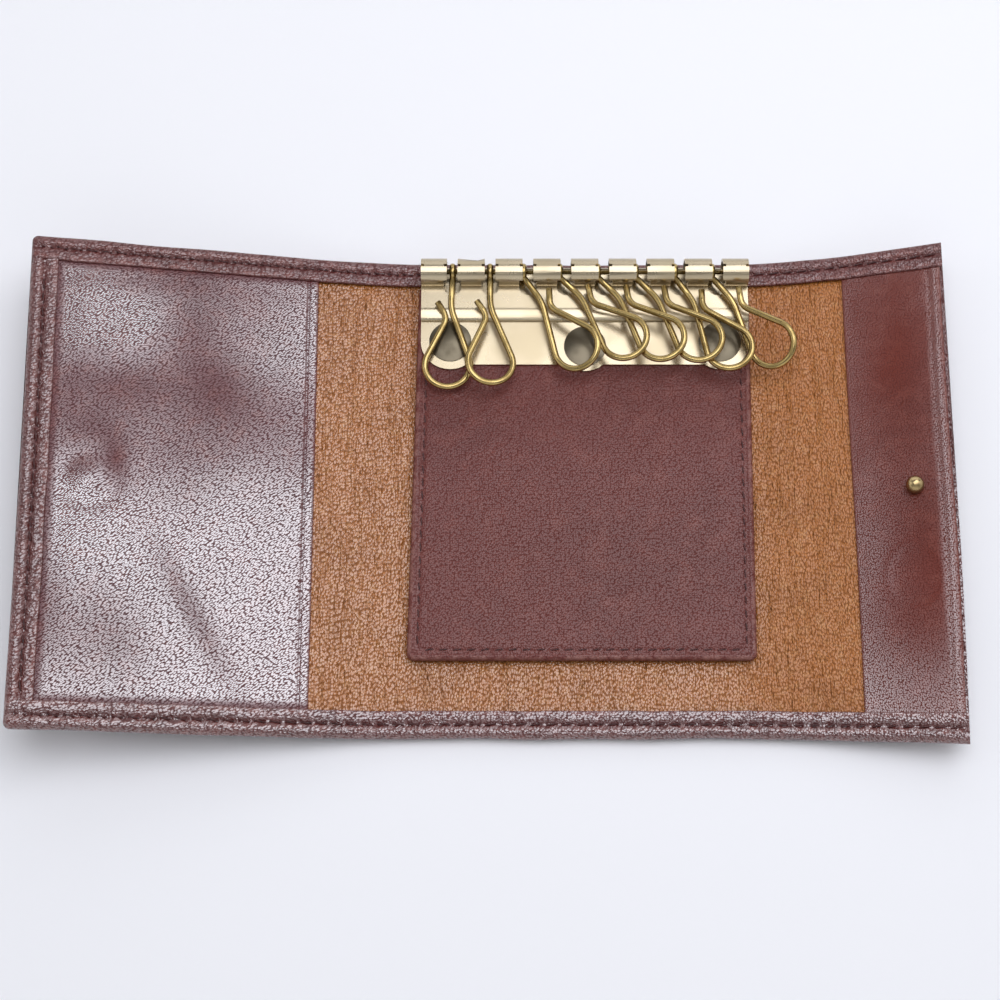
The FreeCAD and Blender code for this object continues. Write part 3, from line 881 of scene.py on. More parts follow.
class Finishes:
    """Every finish on the case."""

    def __init__(self) -> None:
        """Builds the materials."""
        wine = (linear(52, 18, 18), linear(116, 56, 50), linear(142, 88, 80))
        self.cover = LeatherFinish("cover_burgundy", linear(98, 44, 40), *wine, patchiness=0.3).material()
        self.pocket = LeatherFinish(
            "pocket_burgundy", linear(98, 44, 47), *wine, coat_ior=3.05, crease_dull=0.9, crease_share=0.5,
            cell=0.0004, stretch=(0.86, 1.2, 1.0), lean=-0.7, grain_depth=0.000025, wrinkle_size=0.02,
            wrinkle_depth=0.00004,
        ).material()
        self.facing = LeatherFinish(
            "facing_russet",
            linear(108, 43, 31), linear(62, 23, 19), linear(120, 58, 46), linear(150, 96, 84),
            gloss=0.18, coat_roughness=0.14, coat_ior=2.1, cell=0.00038, grain_depth=0.000024,
            wrinkle_size=0.02, wrinkle_stretch=(1.0, 0.6, 1.0), wrinkle_depth=0.00005,
        ).material()
        self.leaf = LeatherFinish(
            "leaf_burgundy",
            linear(106, 48, 41), linear(70, 28, 24), linear(119, 61, 52), linear(160, 116, 106),
            roughness=(0.42, 0.55), gloss=0.25, coat=0.35, coat_roughness=0.18, coat_ior=1.6,
            crease_share=0.36, cell=0.00042, grain_depth=0.000034, wrinkle_size=0.004, wrinkle_depth=0.00006,
            patch=0.03, patchiness=0.25,
        ).material()
        self.lining = LeatherFinish(
            "lining_tan",
            linear(177, 108, 47), linear(100, 56, 22), linear(190, 130, 74), linear(205, 160, 110),
            roughness=(0.35, 0.6), gloss=0.35, coat_roughness=0.16, coat_ior=1.7, crease_share=0.55,
            stretch=(1.3, 0.78, 1.0), grain_depth=0.00006, wrinkle_stretch=(1.3, 0.2, 1.0),
            wrinkle_depth=0.0002, patch=0.012,
        ).material()
        self.thread = ThreadFinish("thread_wine", linear(76, 36, 34), linear(48, 21, 21)).material()
        self.brass = MetalFinish(
            "frame_brass_polished", linear(191, 177, 150), linear(172, 154, 120), (0.26, 0.34), patch=0.012,
            brush_stretch=(0.06, 1.0, 1.0), brush_size=0.00025, brush_depth=0.000002, tarnish_share=0.35,
        ).material()
        self.wire = MetalFinish(
            "hook_brass_aged", linear(182, 158, 104), linear(118, 96, 52), (0.22, 0.36), patch=0.003,
            brush_size=0.0004,
        ).material()
        self.steel = MetalFinish(
            "rivet_nickel", linear(103, 95, 80), linear(74, 67, 54), (0.3, 0.42), patch=0.005,
            brush_stretch=(1.0, 0.12, 1.0), brush_size=0.0003,
        ).material()
        dull = (linear(186, 164, 120), linear(130, 108, 70))
        self.snap = MetalFinish("snap_brass_dull", *dull, (0.22, 0.4)).material()


# Soft pieces


@dataclass
class Stitching:
    """Rows of thread, made by one Geometry Nodes tree, in millimetres and degrees."""

    finishes: Finishes
    pitch: float = 2.9
    length: float = 2.0
    thread: float = 0.17
    arch: float = 0.26
    slant: float = 8.0
    jitter: Pair = (0.7, 1.3)
    seed: int = 11
    bends: int = 8
    sides: int = 7
    handle: float = 0.6
    tree: Tree = field(init=False)

    def __post_init__(self) -> None:
        """Builds the tree."""
        self.tree = bpy.data.node_groups.new("thread_row", "GeometryNodeTree")
        sizes = dict.fromkeys(("Pitch", "Length", "Thread", "Arch", "Slant"), "NodeSocketFloat")
        shape = {"Geometry": "NodeSocketGeometry"}
        others = {"Seed": "NodeSocketInt", "Finish": "NodeSocketMaterial"}
        for way, kinds in (("INPUT", {**shape, **sizes, **others}), ("OUTPUT", shape)):
            for name, kind in kinds.items():
                self.tree.interface.new_socket(name, in_out=way, socket_type=kind)
        nodes = Nodes(self.tree)
        given, leave = nodes.add("NodeGroupInput").outputs, nodes.add("NodeGroupOutput")
        row = nodes.put("GeometryNodeMeshToCurve", Mesh=given["Geometry"])
        row = nodes.put("GeometryNodeResampleCurve", mode="LENGTH", Curve=row, Length=given["Pitch"])
        low = nodes.maths("MULTIPLY", given["Arch"], -1.0)
        stitch = nodes.add("GeometryNodeCurvePrimitiveBezierSegment", mode="POSITION", Resolution=self.bends)
        for end, share in (("Start", -0.5), ("End", 0.5)):
            along = nodes.maths("MULTIPLY", given["Length"], share)
            inner = nodes.maths("MULTIPLY", along, self.handle)
            for name, x, z in ((end, along, low), (end + " Handle", inner, given["Arch"])):
                nodes.give(stitch.inputs[name], nodes.put("ShaderNodeCombineXYZ", X=x, Z=z))
        round_rod = dict(mode="RADIUS", Resolution=self.sides, Radius=given["Thread"])
        ring = nodes.put("GeometryNodeCurvePrimitiveCircle", **round_rod)
        rod = dict(Curve=stitch.outputs[0], Profile_Curve=ring, Fill_Caps=True)
        strand = nodes.put("GeometryNodeCurveToMesh", **rod)
        tangent = nodes.put("GeometryNodeInputTangent")
        turn = nodes.put("FunctionNodeAlignRotationToVector", axis="X", Vector=tangent)
        jitter = nodes.add("FunctionNodeRandomValue", data_type="FLOAT", Seed=given["Seed"])
        for socket, limit in zip(jitter.inputs[2:4], self.jitter):
            socket.default_value = limit
        swing = nodes.maths("MULTIPLY", given["Slant"], jitter.outputs[1])
        twist = nodes.put("FunctionNodeAxisAngleToRotation", Axis=(0.0, 0.0, 1.0), Angle=swing)
        turn = nodes.put("FunctionNodeRotateRotation", rotation_space="LOCAL", Rotation=turn, Rotate_By=twist)
        laid = nodes.put("GeometryNodeInstanceOnPoints", Points=row, Instance=strand, Rotation=turn)
        for kind in ("GeometryNodeRealizeInstances", "GeometryNodeSetShadeSmooth"):
            laid = nodes.put(kind, Geometry=laid)
        laid = nodes.put("GeometryNodeSetMaterial", Geometry=laid, Material=given["Finish"])
        nodes.give(leave.inputs[0], laid)

    def row(self, name: str, paths: list[np.ndarray], **changed: float) -> Piece:
        """Sews thread along paths.

        Args:
            name: The piece's name.
            paths: Points of each path, in millimetres.
            changed: Sizes that differ from this class's own.

        Returns:
            The thread as one plain mesh.
        """
        starts = np.cumsum([len(path) for path in paths])
        edges = [(n - 1, n) for n in range(1, int(starts[-1])) if n not in starts]
        guide = bpy.data.meshes.new(name + "_guide")
        guide.from_pydata((np.concatenate(paths) * MM).tolist(), edges, [])
        carrier = in_scene(name + "_guide", guide)
        modifier = carrier.modifiers.new("thread", "NODES")
        modifier.node_group = self.tree
        lengths = ("pitch", "length", "thread", "arch")
        sizes = {key: changed.get(key, getattr(self, key)) * MM for key in lengths}
        sizes.update(slant=math.radians(self.slant), seed=self.seed, finish=self.finishes.thread)
        for socket in self.tree.interface.items_tree:
            if socket.in_out == "INPUT" and socket.name.lower() in sizes:
                modifier[socket.identifier] = sizes[socket.name.lower()]
        carrier.data.update()
        graph = bpy.context.evaluated_depsgraph_get()
        mesh = bpy.data.meshes.new_from_object(carrier.evaluated_get(graph))
        bpy.data.objects.remove(carrier)
        return in_scene(name, mesh)


@dataclass
class Cover:
    """The outer leather with its turned hems, in millimetres."""

    finishes: Finishes
    stitching: Stitching
    half_height: float = 50.0
    left_tip: float = 111.80
    right_tip: float = 73.41
    thickness: float = 0.8
    edge: float = 1.25
    hem: float = 5.3
    hem_top: float = 2.5
    hem_under: float = 1.92
    hem_start: float = 1.5
    hem_rows: int = 22
    lip_start: float = 0.32
    lip_in: tuple[float, ...] = (0.2, 0.1, 0.03, 0.0)
    lip_drop: tuple[float, ...] = (0.04, 0.11, 0.22, 0.38)
    groove: float = 2.65
    groove_depth: float = 0.34
    groove_width: float = 0.5
    hole_depth: float = 0.16
    hole_width: float = 0.17
    pucker_depth: float = 0.15
    pucker_width: float = 1.5
    crinkle_depth: float = 0.05
    crinkle_size: Pair = (1.6, 1.3)
    swell_depth: float = 0.06
    swell_size: float = 9.0
    settle_size: float = 0.8
    wander_from: Pair = (2.5, 5.0)
    ridge_wear: tuple[Triple, ...] = ((0.9, 1.5, 0.7), (0.9, 4.7, 0.5))
    edge_wear: float = 0.8
    edge_wobble: Triple = (0.16, 11.0, 5.0)
    lip_wobble: Triple = (0.14, 6.0, 9.0)
    lip_gap: float = 0.05
    under_in: Triple = (4.2, 3.0, 1.8)
    inner_turn_in: tuple[float, ...] = (1.42, 1.36, 1.44, 1.7)
    inner_turn_high: Triple = (1.7, 1.35, 1.0)
    inside_from: float = 46.0
    outer_lines: int = 15
    turn_lines: int = 13
    inner_lines: int = 6
    end_turn: float = 88.0
    end_lines: int = 9
    least_step: float = 0.05
    least_round: float = 0.0004
    side_wobble: Triple = (0.12, 9.0, 40.0)
    side_phase: float = 31.0
    side_tuck: float = 0.9
    side_turn_end: float = -18.0
    side_turn_lines: int = 11
    side_bulge: float = 1.02
    side_under_in: Triple = (0.45, 0.62, 1.1)
    side_under_high: Triple = (1.0, 1.5, 1.86)
    side_drop: float = 0.02
    overlap: float = 0.14
    overlap_at: Pair = (6.2, 5.0)
    thread_lift: float = 0.06
    upper_gloss: float = 0.45
    side_gloss: float = 0.72
    step: float = 0.32
    sharp: float = 50.0
    noise: Unevenness = field(default_factory=lambda: Unevenness(3))

    def tip(self, side: Side) -> float:
        """The flat distance of that half's outer edge."""
        return self.left_tip if side is Side.LEFT else self.right_tip

    @property
    def thread_level(self) -> float:
        """The height at which thread lies in its groove."""
        return self.hem_top - self.groove_depth + self.thread_lift

    def hem_face(self, along: np.ndarray, phase: float) -> tuple[np.ndarray, np.ndarray, np.ndarray]:
        """Makes a hem's upper face: two crowned ridges, a sewn groove and its puckers.

        Args:
            along: Distance of each station along the hem.
            phase: Which row of noise it reads.

        Returns:
            Distances in from the turned edge, heights by station and distance, and wear by distance.
        """
        station = along[:, None]
        flat = np.linspace(self.hem_start, self.hem - self.lip_start, self.hem_rows)
        inward = np.concatenate([flat, self.hem - np.array(self.lip_in)])
        drop = np.concatenate([np.zeros(self.hem_rows), self.lip_drop])
        turn = station / self.stitching.pitch
        hole = bell(turn - np.round(turn), 0.0, self.hole_width)
        pucker = 0.5 + 0.5 * np.cos(2 * np.pi * turn)
        sewn = bell(inward, self.groove, self.groove_width)
        rise = self.hem_top - self.groove_depth * sewn - self.hole_depth * hole * sewn
        rise = rise - self.pucker_depth * pucker * bell(inward, self.groove, self.pucker_width)
        long, wide = self.crinkle_size
        rise = rise + self.crinkle_depth * self.noise.layered(station / long, inward / wide + phase)
        rise = rise + self.swell_depth * self.noise.one(station / self.swell_size + phase, phase) - drop
        settle = np.clip((inward - self.edge) / self.settle_size, 0, 1)
        return inward, self.hem_top * (1 - settle) + rise * settle, ridges(inward, self.ridge_wear)

    def section(self, along: np.ndarray, sign: int, side: Side) -> tuple[np.ndarray, ...]:
        """Makes half a section, from the outer face's middle round one hem to the inner face's middle.

        Args:
            along: Flat distance of each station from the case's middle.
            sign: 1 for the upper hem and -1 for the lower one.
            side: The half of the case.

        Returns:
            Distance up the case, height and wear, each by station and place round the section.
        """
        station = along[:, None]
        depth, long, row = self.edge_wobble
        wobble = depth * self.noise.one(station / long, row * sign)
        depth, long, row = self.lip_wobble
        wander = depth * self.noise.layered(station / long, row * sign, 3)
        inward, rise, worn = self.hem_face(along, 2.0 * sign + 0.5 * side.value)
        if side is Side.LEFT:
            start, end = (self.left_tip - distance for distance in self.overlap_at)
            rise = rise + self.overlap * ease(start, end, station)
        straight = self.half_height - self.edge
        turn = np.radians(np.linspace(-90, 90, self.turn_lines))
        around = straight + self.edge * np.cos(turn) + wobble * np.cos(turn)
        under = np.array([self.hem - self.lip_gap, *self.under_in])
        inside_turn = np.array([*self.inner_turn_high, self.thickness])
        runs = (
            (np.linspace(0, straight, self.outer_lines)[1:-1], 0.0, 0.0),
            (around, self.edge + self.edge * np.sin(turn), np.cos(turn) ** 2 * self.edge_wear),
            (self.half_height - inward + wander * ease(*self.wander_from, inward), rise, worn),
            (self.half_height - under + wander * ease(*self.wander_from, under), self.hem_under, 0.0),
            (self.half_height - np.array(self.inner_turn_in), inside_turn, 0.0),
            (np.linspace(self.inside_from, 0, self.inner_lines)[:-1], self.thickness, 0.0),
        )
        return joined(runs, station)

    def half(self, side: Side) -> Piece:
        """Builds one half of the cover.

        Args:
            side: The half.

        Returns:
            The piece.
        """
        tip, limit = self.tip(side), self.half_height - self.edge
        body = np.arange(0, tip - self.edge, self.step)
        close = tip - self.edge * (1 - np.sin(np.radians(np.linspace(0, self.end_turn, self.end_lines))))
        along = np.concatenate([body, close[close > body[-1] + self.least_step]])
        upper, lower = (self.section(along, sign, side) for sign in (1, -1))
        up = np.concatenate([upper[0], -lower[0][:, ::-1]], 1)
        high, worn = (np.concatenate([upper[n], lower[n][:, ::-1]], 1) for n in (1, 2))
        if side is Side.LEFT:
            past = np.clip((along - (tip - self.edge)) / self.edge, 0, 1)[:, None]
            round_off = np.sqrt(np.clip(1 - past**2, self.least_round, 1))
            high = self.edge + (high - self.edge) * round_off
            up = np.where(np.abs(up) > limit, np.sign(up) * (limit + (np.abs(up) - limit) * round_off), up)
            worn = np.maximum(worn, past**2 * self.edge_wear)
        shell = Shell()
        # Painted shade: the upper hem keeps less gloss, so it shows less sheen than the lower one.
        gloss = np.where(up > 0, self.upper_gloss, 1.0)
        shell.loft(LAY.place(side.value * along[:, None], up, high), worn, gloss)
        piece = shell.piece(f"cover_{side.word}", self.finishes.cover, self.sharp)
        return folded(piece, side, Slot.COVER, *panels("cover", side))

    def left_hem(self) -> Piece:
        """Builds the hem along the left edge, whose ends lie under the other two hems.

        Returns:
            The piece.
        """
        reach = self.half_height - self.hem + self.side_tuck
        up = np.arange(-reach, reach + self.step / 2, self.step)
        inward, rise, worn = self.hem_face(up, self.side_phase)
        depth, long, row = self.side_wobble
        wobble = depth * self.noise.one(up[:, None] / long, row) * ease(*self.wander_from, inward)
        turn = np.radians(np.linspace(90, self.side_turn_end, self.side_turn_lines))
        around = self.edge - self.edge * np.cos(turn) * self.side_bulge
        under_in = np.array([*self.side_under_in, self.hem - self.lip_gap])
        under_high = np.array([*self.side_under_high, self.hem_under - self.side_drop])
        runs = (
            ((inward + wobble)[:, ::-1], rise[:, ::-1], worn[::-1]),
            (around, self.edge + self.edge * np.sin(turn), np.cos(turn) ** 2 * self.edge_wear),
            (under_in, under_high, 0.0),
        )
        inward, high, worn = joined(runs, up[:, None])
        shell = Shell()
        # Painted shade: the left hem keeps less gloss than the lower hem.
        shell.loft(LAY.place(-(self.left_tip - inward), up[:, None], high), worn, self.side_gloss)
        piece = shell.piece("cover_left_hem", self.finishes.cover, self.sharp)
        return seated(piece, Body.LEFT_WING.value, Slot.COVER)

    def sew(self, side: Side) -> Piece:
        """Sews the upper and lower hems of one half.

        Args:
            side: The half.

        Returns:
            The thread.
        """
        pitch, inner = self.stitching.pitch, self.half_height - self.groove
        along = side.value * np.arange(0.5 * pitch, self.tip(side) - 1.0, pitch)
        paths = [LAY.place(along, sign * inner, self.thread_level) for sign in (1, -1)]
        return folded(self.stitching.row(f"hem_thread_{side.word}", paths), side, Slot.COVER)

    def sew_left_hem(self) -> Piece:
        """Sews the left hem.

        Returns:
            The thread.
        """
        pitch = self.stitching.pitch
        count = math.floor((self.half_height - self.hem) / pitch - 0.5)
        up = (np.arange(-count, count + 1) - 0.5) * pitch
        path = LAY.place(-(self.left_tip - self.groove), up, self.thread_level)
        return seated(self.stitching.row("hem_thread_left_edge", [path]), Body.LEFT_WING.value, Slot.COVER)

    def build(self) -> None:
        """Builds every piece of the cover."""
        for side in Side:
            report(self.half(side))
        report(self.left_hem())
        for side in Side:
            report(self.sew(side))
        report(self.sew_left_hem())


@dataclass
class Lining:
    """The tan leather inside the case, in millimetres."""

    finishes: Finishes
    bottom: float = 0.82
    top: float = 1.4
    half_height: float = 48.5
    left_reach: float = 110.4
    right_reach: float = 72.0
    shown: float = 56.0
    hidden_lines: int = 14
    cell: float = 0.5
    loose_from: Pair = (30, 44)
    loose_to: Pair = (56, 50)
    loose_up: Pair = (38, 46)
    crumple_size: Pair = (1.9, 13.0)
    crumple_lean: float = 0.06
    crumple_depth: Pair = (0.1, 0.14)
    billow_size: Pair = (17.0, 26.0)
    billow_depth: float = 0.22
    billow_lift: float = 0.4
    billow_shift: float = 4
    tucked: float = 53.3
    dull_from: Pair = (20, 40)
    right_loss: float = 0.75
    noise: Unevenness = field(default_factory=lambda: Unevenness(21))

    def half(self, side: Side) -> Piece:
        """Builds one half of the lining.

        Args:
            side: The half.

        Returns:
            The piece.
        """
        reach = self.left_reach if side is Side.LEFT else self.right_reach
        near = np.linspace(0, self.shown, round(self.shown / self.cell))
        hidden = np.linspace(self.shown, reach, self.hidden_lines)[1:]
        along = side.value * np.concatenate([near, hidden])
        s, y = np.meshgrid(along, evenly(self.half_height, self.cell), indexing="ij")
        out, off = np.abs(s), np.abs(y)
        loose = ease(*self.loose_from, out) * ease(*self.loose_to, out) * (1 - ease(*self.loose_up, off))
        wide, long = self.crumple_size
        crumple = self.noise.layered((s + self.crumple_lean * y) / wide, y / long)
        wide, long = self.billow_size
        billow = self.noise.layered(s / wide + self.billow_shift, y / long)
        firm, slack = self.crumple_depth
        slack = slack * crumple + self.billow_depth * (billow + self.billow_lift)
        rise = self.top + firm * crumple + loose * slack
        rise = np.where(out > self.tucked, np.minimum(rise, self.top), rise)
        shell = Shell()
        # Painted shade: the right half keeps less gloss, so it shows less sheen and looks darker.
        kept = 1 - self.right_loss * ease(*self.dull_from, s)
        shell.slab(LAY.place(s, y, rise), LAY.place(s, y, self.bottom), sheen=kept)
        piece = shell.piece(f"lining_{side.word}", self.finishes.lining)
        folded(piece, side, Slot.LINING, *panels("lining", side))
        return piece

    def build(self) -> None:
        """Builds both halves."""
        for side in Side:
            report(self.half(side))


@dataclass
class WingPanels:
    """The bill pocket on the left wing and the facing on the right flap, in millimetres."""

    finishes: Finishes
    bottom: float = 1.42
    top: float = 1.9
    least: float = 0.03
    half_height: float = 48.3
    cell: float = 0.55
    hem_at: Pair = (106.5, 44.7)
    taut_from: Pair = (106.3, 44.5)
    snap_up: float = -0.9
    pocket_edge: float = 54.8
    pocket_end: float = 110.1
    pocket_fine: tuple[float, ...] = (
        0.0, 0.04, 0.12, 0.24, 0.4, 0.6, 0.9, 1.2, 1.5, 1.7, 1.85, 2.0, 2.15, 2.3, 2.6, 3.0,
    )
    pocket_edge_ridges: tuple[Triple, ...] = ((-0.16, 2.05, 0.24), (0.06, 1.1, 0.6))
    pocket_wear: tuple[Triple, ...] = ((0.8, 0.2, 0.5), (0.3, 2.5, 0.3))
    pocket_round: float = 0.45
    swell_depth: float = 0.34
    swell_size: Pair = (19.0, 22.0)
    swell_lift: float = 0.6
    drape_depth: float = 0.16
    drape_size: Pair = (11.0, 34.0)
    drape_lean: Pair = (0.7, 0.5)
    ripple_size: Pair = (2.0, 6.0)
    ripples: tuple[Triple, ...] = ((0.05, 1.0, 1.2),)
    pocket_margins: Triple = (4, 6, 6)
    socket_at: float = 98.6
    socket_boss: tuple[Triple, ...] = ((0.62, 0.0, 2.7), (-0.2, 5.2, 1.6))
    hem_shade: float = 0.12
    shade_reach: Pair = (0.3, 1.9)
    facing_edge: float = 53.41
    facing_end: float = 72.9
    facing_fine: tuple[float, ...] = (0.0, 0.04, 0.1, 0.2, 0.35, 0.55)
    facing_last: tuple[float, ...] = (0.4, 0.25, 0.12, 0.04, 0.0)
    facing_ridges: tuple[Triple, ...] = ((-0.2, 2.4, 0.26), (0.1, 1.5, 0.5))
    facing_round: Pair = (0.3, 0.45)
    facing_outer_wear: tuple[Triple, ...] = ((0.6, 0.3, 0.5),)
    facing_inner_wear: tuple[Triple, ...] = ((0.4, 0.1, 0.3),)
    facing_glint: tuple[Triple, ...] = ((1.0, 1.6, 1.2),)
    facing_seam: float = 2.4
    facing_margins: Triple = (3, 2, 6)
    facing_fine_end: float = 0.6
    wave_size: Pair = (11.0, 14.0)
    wave_shift: float = 2
    wave_lift: float = 0.35
    wave_depth: float = 0.14
    stud_at: float = 65.5
    stud_seat: tuple[Triple, ...] = ((-0.05, 0.0, 2.6),)
    print_at: Pair = (64.6, -19.0)
    print_size: Pair = (5.4, 6.6)
    print_ring: tuple[Triple, ...] = ((0.1, 1.0, 0.12),)
    print_depth: float = 0.06
    print_dish: Pair = (1.0, 0.8)
    noise: Unevenness = field(default_factory=lambda: Unevenness(8))
    # Painted shade: ovals where the gloss is cut, so the lamps' sheen shows dark in set zones.
    pocket_dull: tuple[DullPatch, ...] = (
        DullPatch(82.0, 42.5, 13.0, 4.5, 0.0, 0.6), DullPatch(79.5, 32.0, 11.0, 6.5, 80.0, 0.6),
        DullPatch(75.0, 20.5, 9.0, 7.0, 45.0, 0.75), DullPatch(94.0, 19.0, 15.0, 5.0, 0.0, 0.65),
        DullPatch(99.0, 10.0, 7.0, 4.0, 20.0, 0.55), DullPatch(93.8, 3.2, 5.5, 3.0, 80.0, 0.9),
        DullPatch(82.0, 14.5, 60.0, 10.5, 0.0, 0.65), DullPatch(82.0, 6.0, 60.0, 6.0, 0.0, 0.35),
        DullPatch(102.0, -31.0, 13.0, 11.0, 0.0, 0.4), DullPatch(80.0, -2.0, 9.0, 7.0, 0.0, 0.25),
        DullPatch(70.0, 37.0, 13.0, 12.0, 0.0, 0.4), DullPatch(77.5, -27.0, 14.0, 2.4, 60.0, 0.6),
        DullPatch(105.0, -26.0, 8.0, 3.0, 90.0, 0.4), DullPatch(91.7, -32.7, 8.0, 5.0, 60.0, 0.35),
    )
    facing_dull: tuple[DullPatch, ...] = (
        DullPatch(64.0, 24.0, 38.0, 14.0, 90.0, 0.99), DullPatch(67.5, -16.0, 26.0, 11.0, 90.0, 0.99),
        DullPatch(64.0, -27.0, 9.0, 12.0, 90.0, 0.6),
    )

    def lip(self, inward: np.ndarray, reach: float) -> np.ndarray:
        """Gives how far a face drops where its edge is rounded over that reach."""
        share = np.clip(1 - inward / reach, 0, 1)
        return reach * (1 - np.sqrt(1 - share * share))

    def grid(self, fine: tuple[float, ...], start: float, end: float, last: np.ndarray) -> list[np.ndarray]:
        """Lays a grid whose lines are closer together at its first edge.

        Args:
            fine: Distances of the close lines from the first edge.
            start: The first edge.
            end: Where the evenly spaced lines end.
            last: Places of any lines past them.

        Returns:
            Place along and place up of each point.
        """
        near = start + np.array(fine)
        rest = np.linspace(near[-1], end, round((end - near[-1]) / self.cell))
        along = np.concatenate([near, rest[1:], last])
        return np.meshgrid(along, evenly(self.half_height, self.cell), indexing="ij")

    def panel(self, node: str, material: Material, side: Side, *face: np.ndarray) -> Piece:
        """Closes a panel and gives it to its wing.

        Args:
            node: The node that it stands for.
            material: Its finish.
            side: The half that it lies on.
            face: Place along, place up, height, wear and gloss of the upper face.

        Returns:
            The piece.
        """
        s, y, rise, worn, kept = face
        shell = Shell()
        upper = LAY.place(side.value * s, y, np.maximum(rise, self.bottom + self.least))
        shell.slab(upper, LAY.place(side.value * s, y, self.bottom), worn, kept)
        piece = shell.piece(f"{node}_leather", material)
        seated(piece, wing(side).value, Slot.FACING, node)
        return piece

    def pocket(self) -> Piece:
        """Builds the bill pocket's panel.

        Returns:
            The piece.
        """
        s, y = self.grid(self.pocket_fine, self.pocket_edge, self.pocket_end, np.array([]))
        inward = s - self.pocket_edge
        side_slack, end_slack = self.taut_from[0] - s, self.taut_from[1] - np.abs(y)
        near, far, ends = self.pocket_margins
        inside = ease(0, far, side_slack) * ease(0, ends, end_slack) * ease(0, near, inward)
        wide, long = self.swell_size
        swell = self.noise.layered(s / wide, y / long) + self.swell_lift
        (wide, long), (over, back) = self.drape_size, self.drape_lean
        drape = self.noise.layered((s + over * y) / wide, (y - back * s) / long)
        away = np.hypot(s - self.socket_at, y - self.snap_up)
        rise = self.top + inside * (self.swell_depth * swell + self.drape_depth * drape)
        rise = rise + ridges(away, self.socket_boss) - self.lip(inward, self.pocket_round)
        rise = rise + ridges(inward, self.pocket_edge_ridges)
        wide, long = self.ripple_size
        rise = rise + self.noise.one(s / wide, y / long) * ridges(inward, self.ripples)
        # Painted sheen and shade: the ovals cut the gloss in dark zones, and a painted shade line darkens the
        # panel along the hems.
        gap = np.minimum(self.hem_at[1] - np.abs(y), self.hem_at[0] - s)
        kept = math.prod(patch.kept(s, y) for patch in self.pocket_dull)
        kept = kept * (self.hem_shade + (1 - self.hem_shade) * ease(*self.shade_reach, gap))
        face = (s, y, rise, ridges(inward, self.pocket_wear), kept)
        return self.panel("pocket_panel", self.finishes.pocket, Side.LEFT, *face)

    def facing(self) -> Piece:
        """Builds the right flap's facing.

        Returns:
            The piece.
        """
        last = self.facing_end - np.array(self.facing_last)
        s, y = self.grid(self.facing_fine, self.facing_edge, self.facing_end - self.facing_fine_end, last)
        inward, outward = s - self.facing_edge, self.facing_end - s
        end_slack = self.taut_from[1] - np.abs(y)
        near, far, ends = self.facing_margins
        inside = ease(0, near, inward) * ease(0, far, outward - self.facing_seam) * ease(0, ends, end_slack)
        wide, long = self.wave_size
        waves = self.noise.layered(s / wide + self.wave_shift, y / long, 3) + self.wave_lift
        away = np.hypot(s - self.stud_at, y - self.snap_up)
        middle, size = self.print_at, self.print_size
        ring = np.hypot((s - middle[0]) / size[0], (y - middle[1]) / size[1])
        rise = self.top + inside * self.wave_depth * waves + ridges(away, self.stud_seat)
        rise = rise + ridges(ring, self.print_ring) - self.print_depth * ease(*self.print_dish, ring)
        first, second = self.facing_round
        rise = rise - self.lip(inward, first) - self.lip(outward, second)
        rise = rise + ridges(outward, self.facing_ridges)
        worn = ridges(outward, self.facing_outer_wear) + ridges(inward, self.facing_inner_wear)
        # Painted sheen and shade: the ovals cut the gloss, and a strip along the outer edge keeps it for a
        # painted glint.
        kept = math.prod(patch.kept(s, y) for patch in self.facing_dull)
        kept = np.maximum(kept, ridges(outward, self.facing_glint))
        return self.panel("flap_facing", self.finishes.facing, Side.RIGHT, s, y, rise, worn, kept)

    def build(self) -> None:
        """Builds both panels."""
        report(self.pocket())
        report(self.facing())


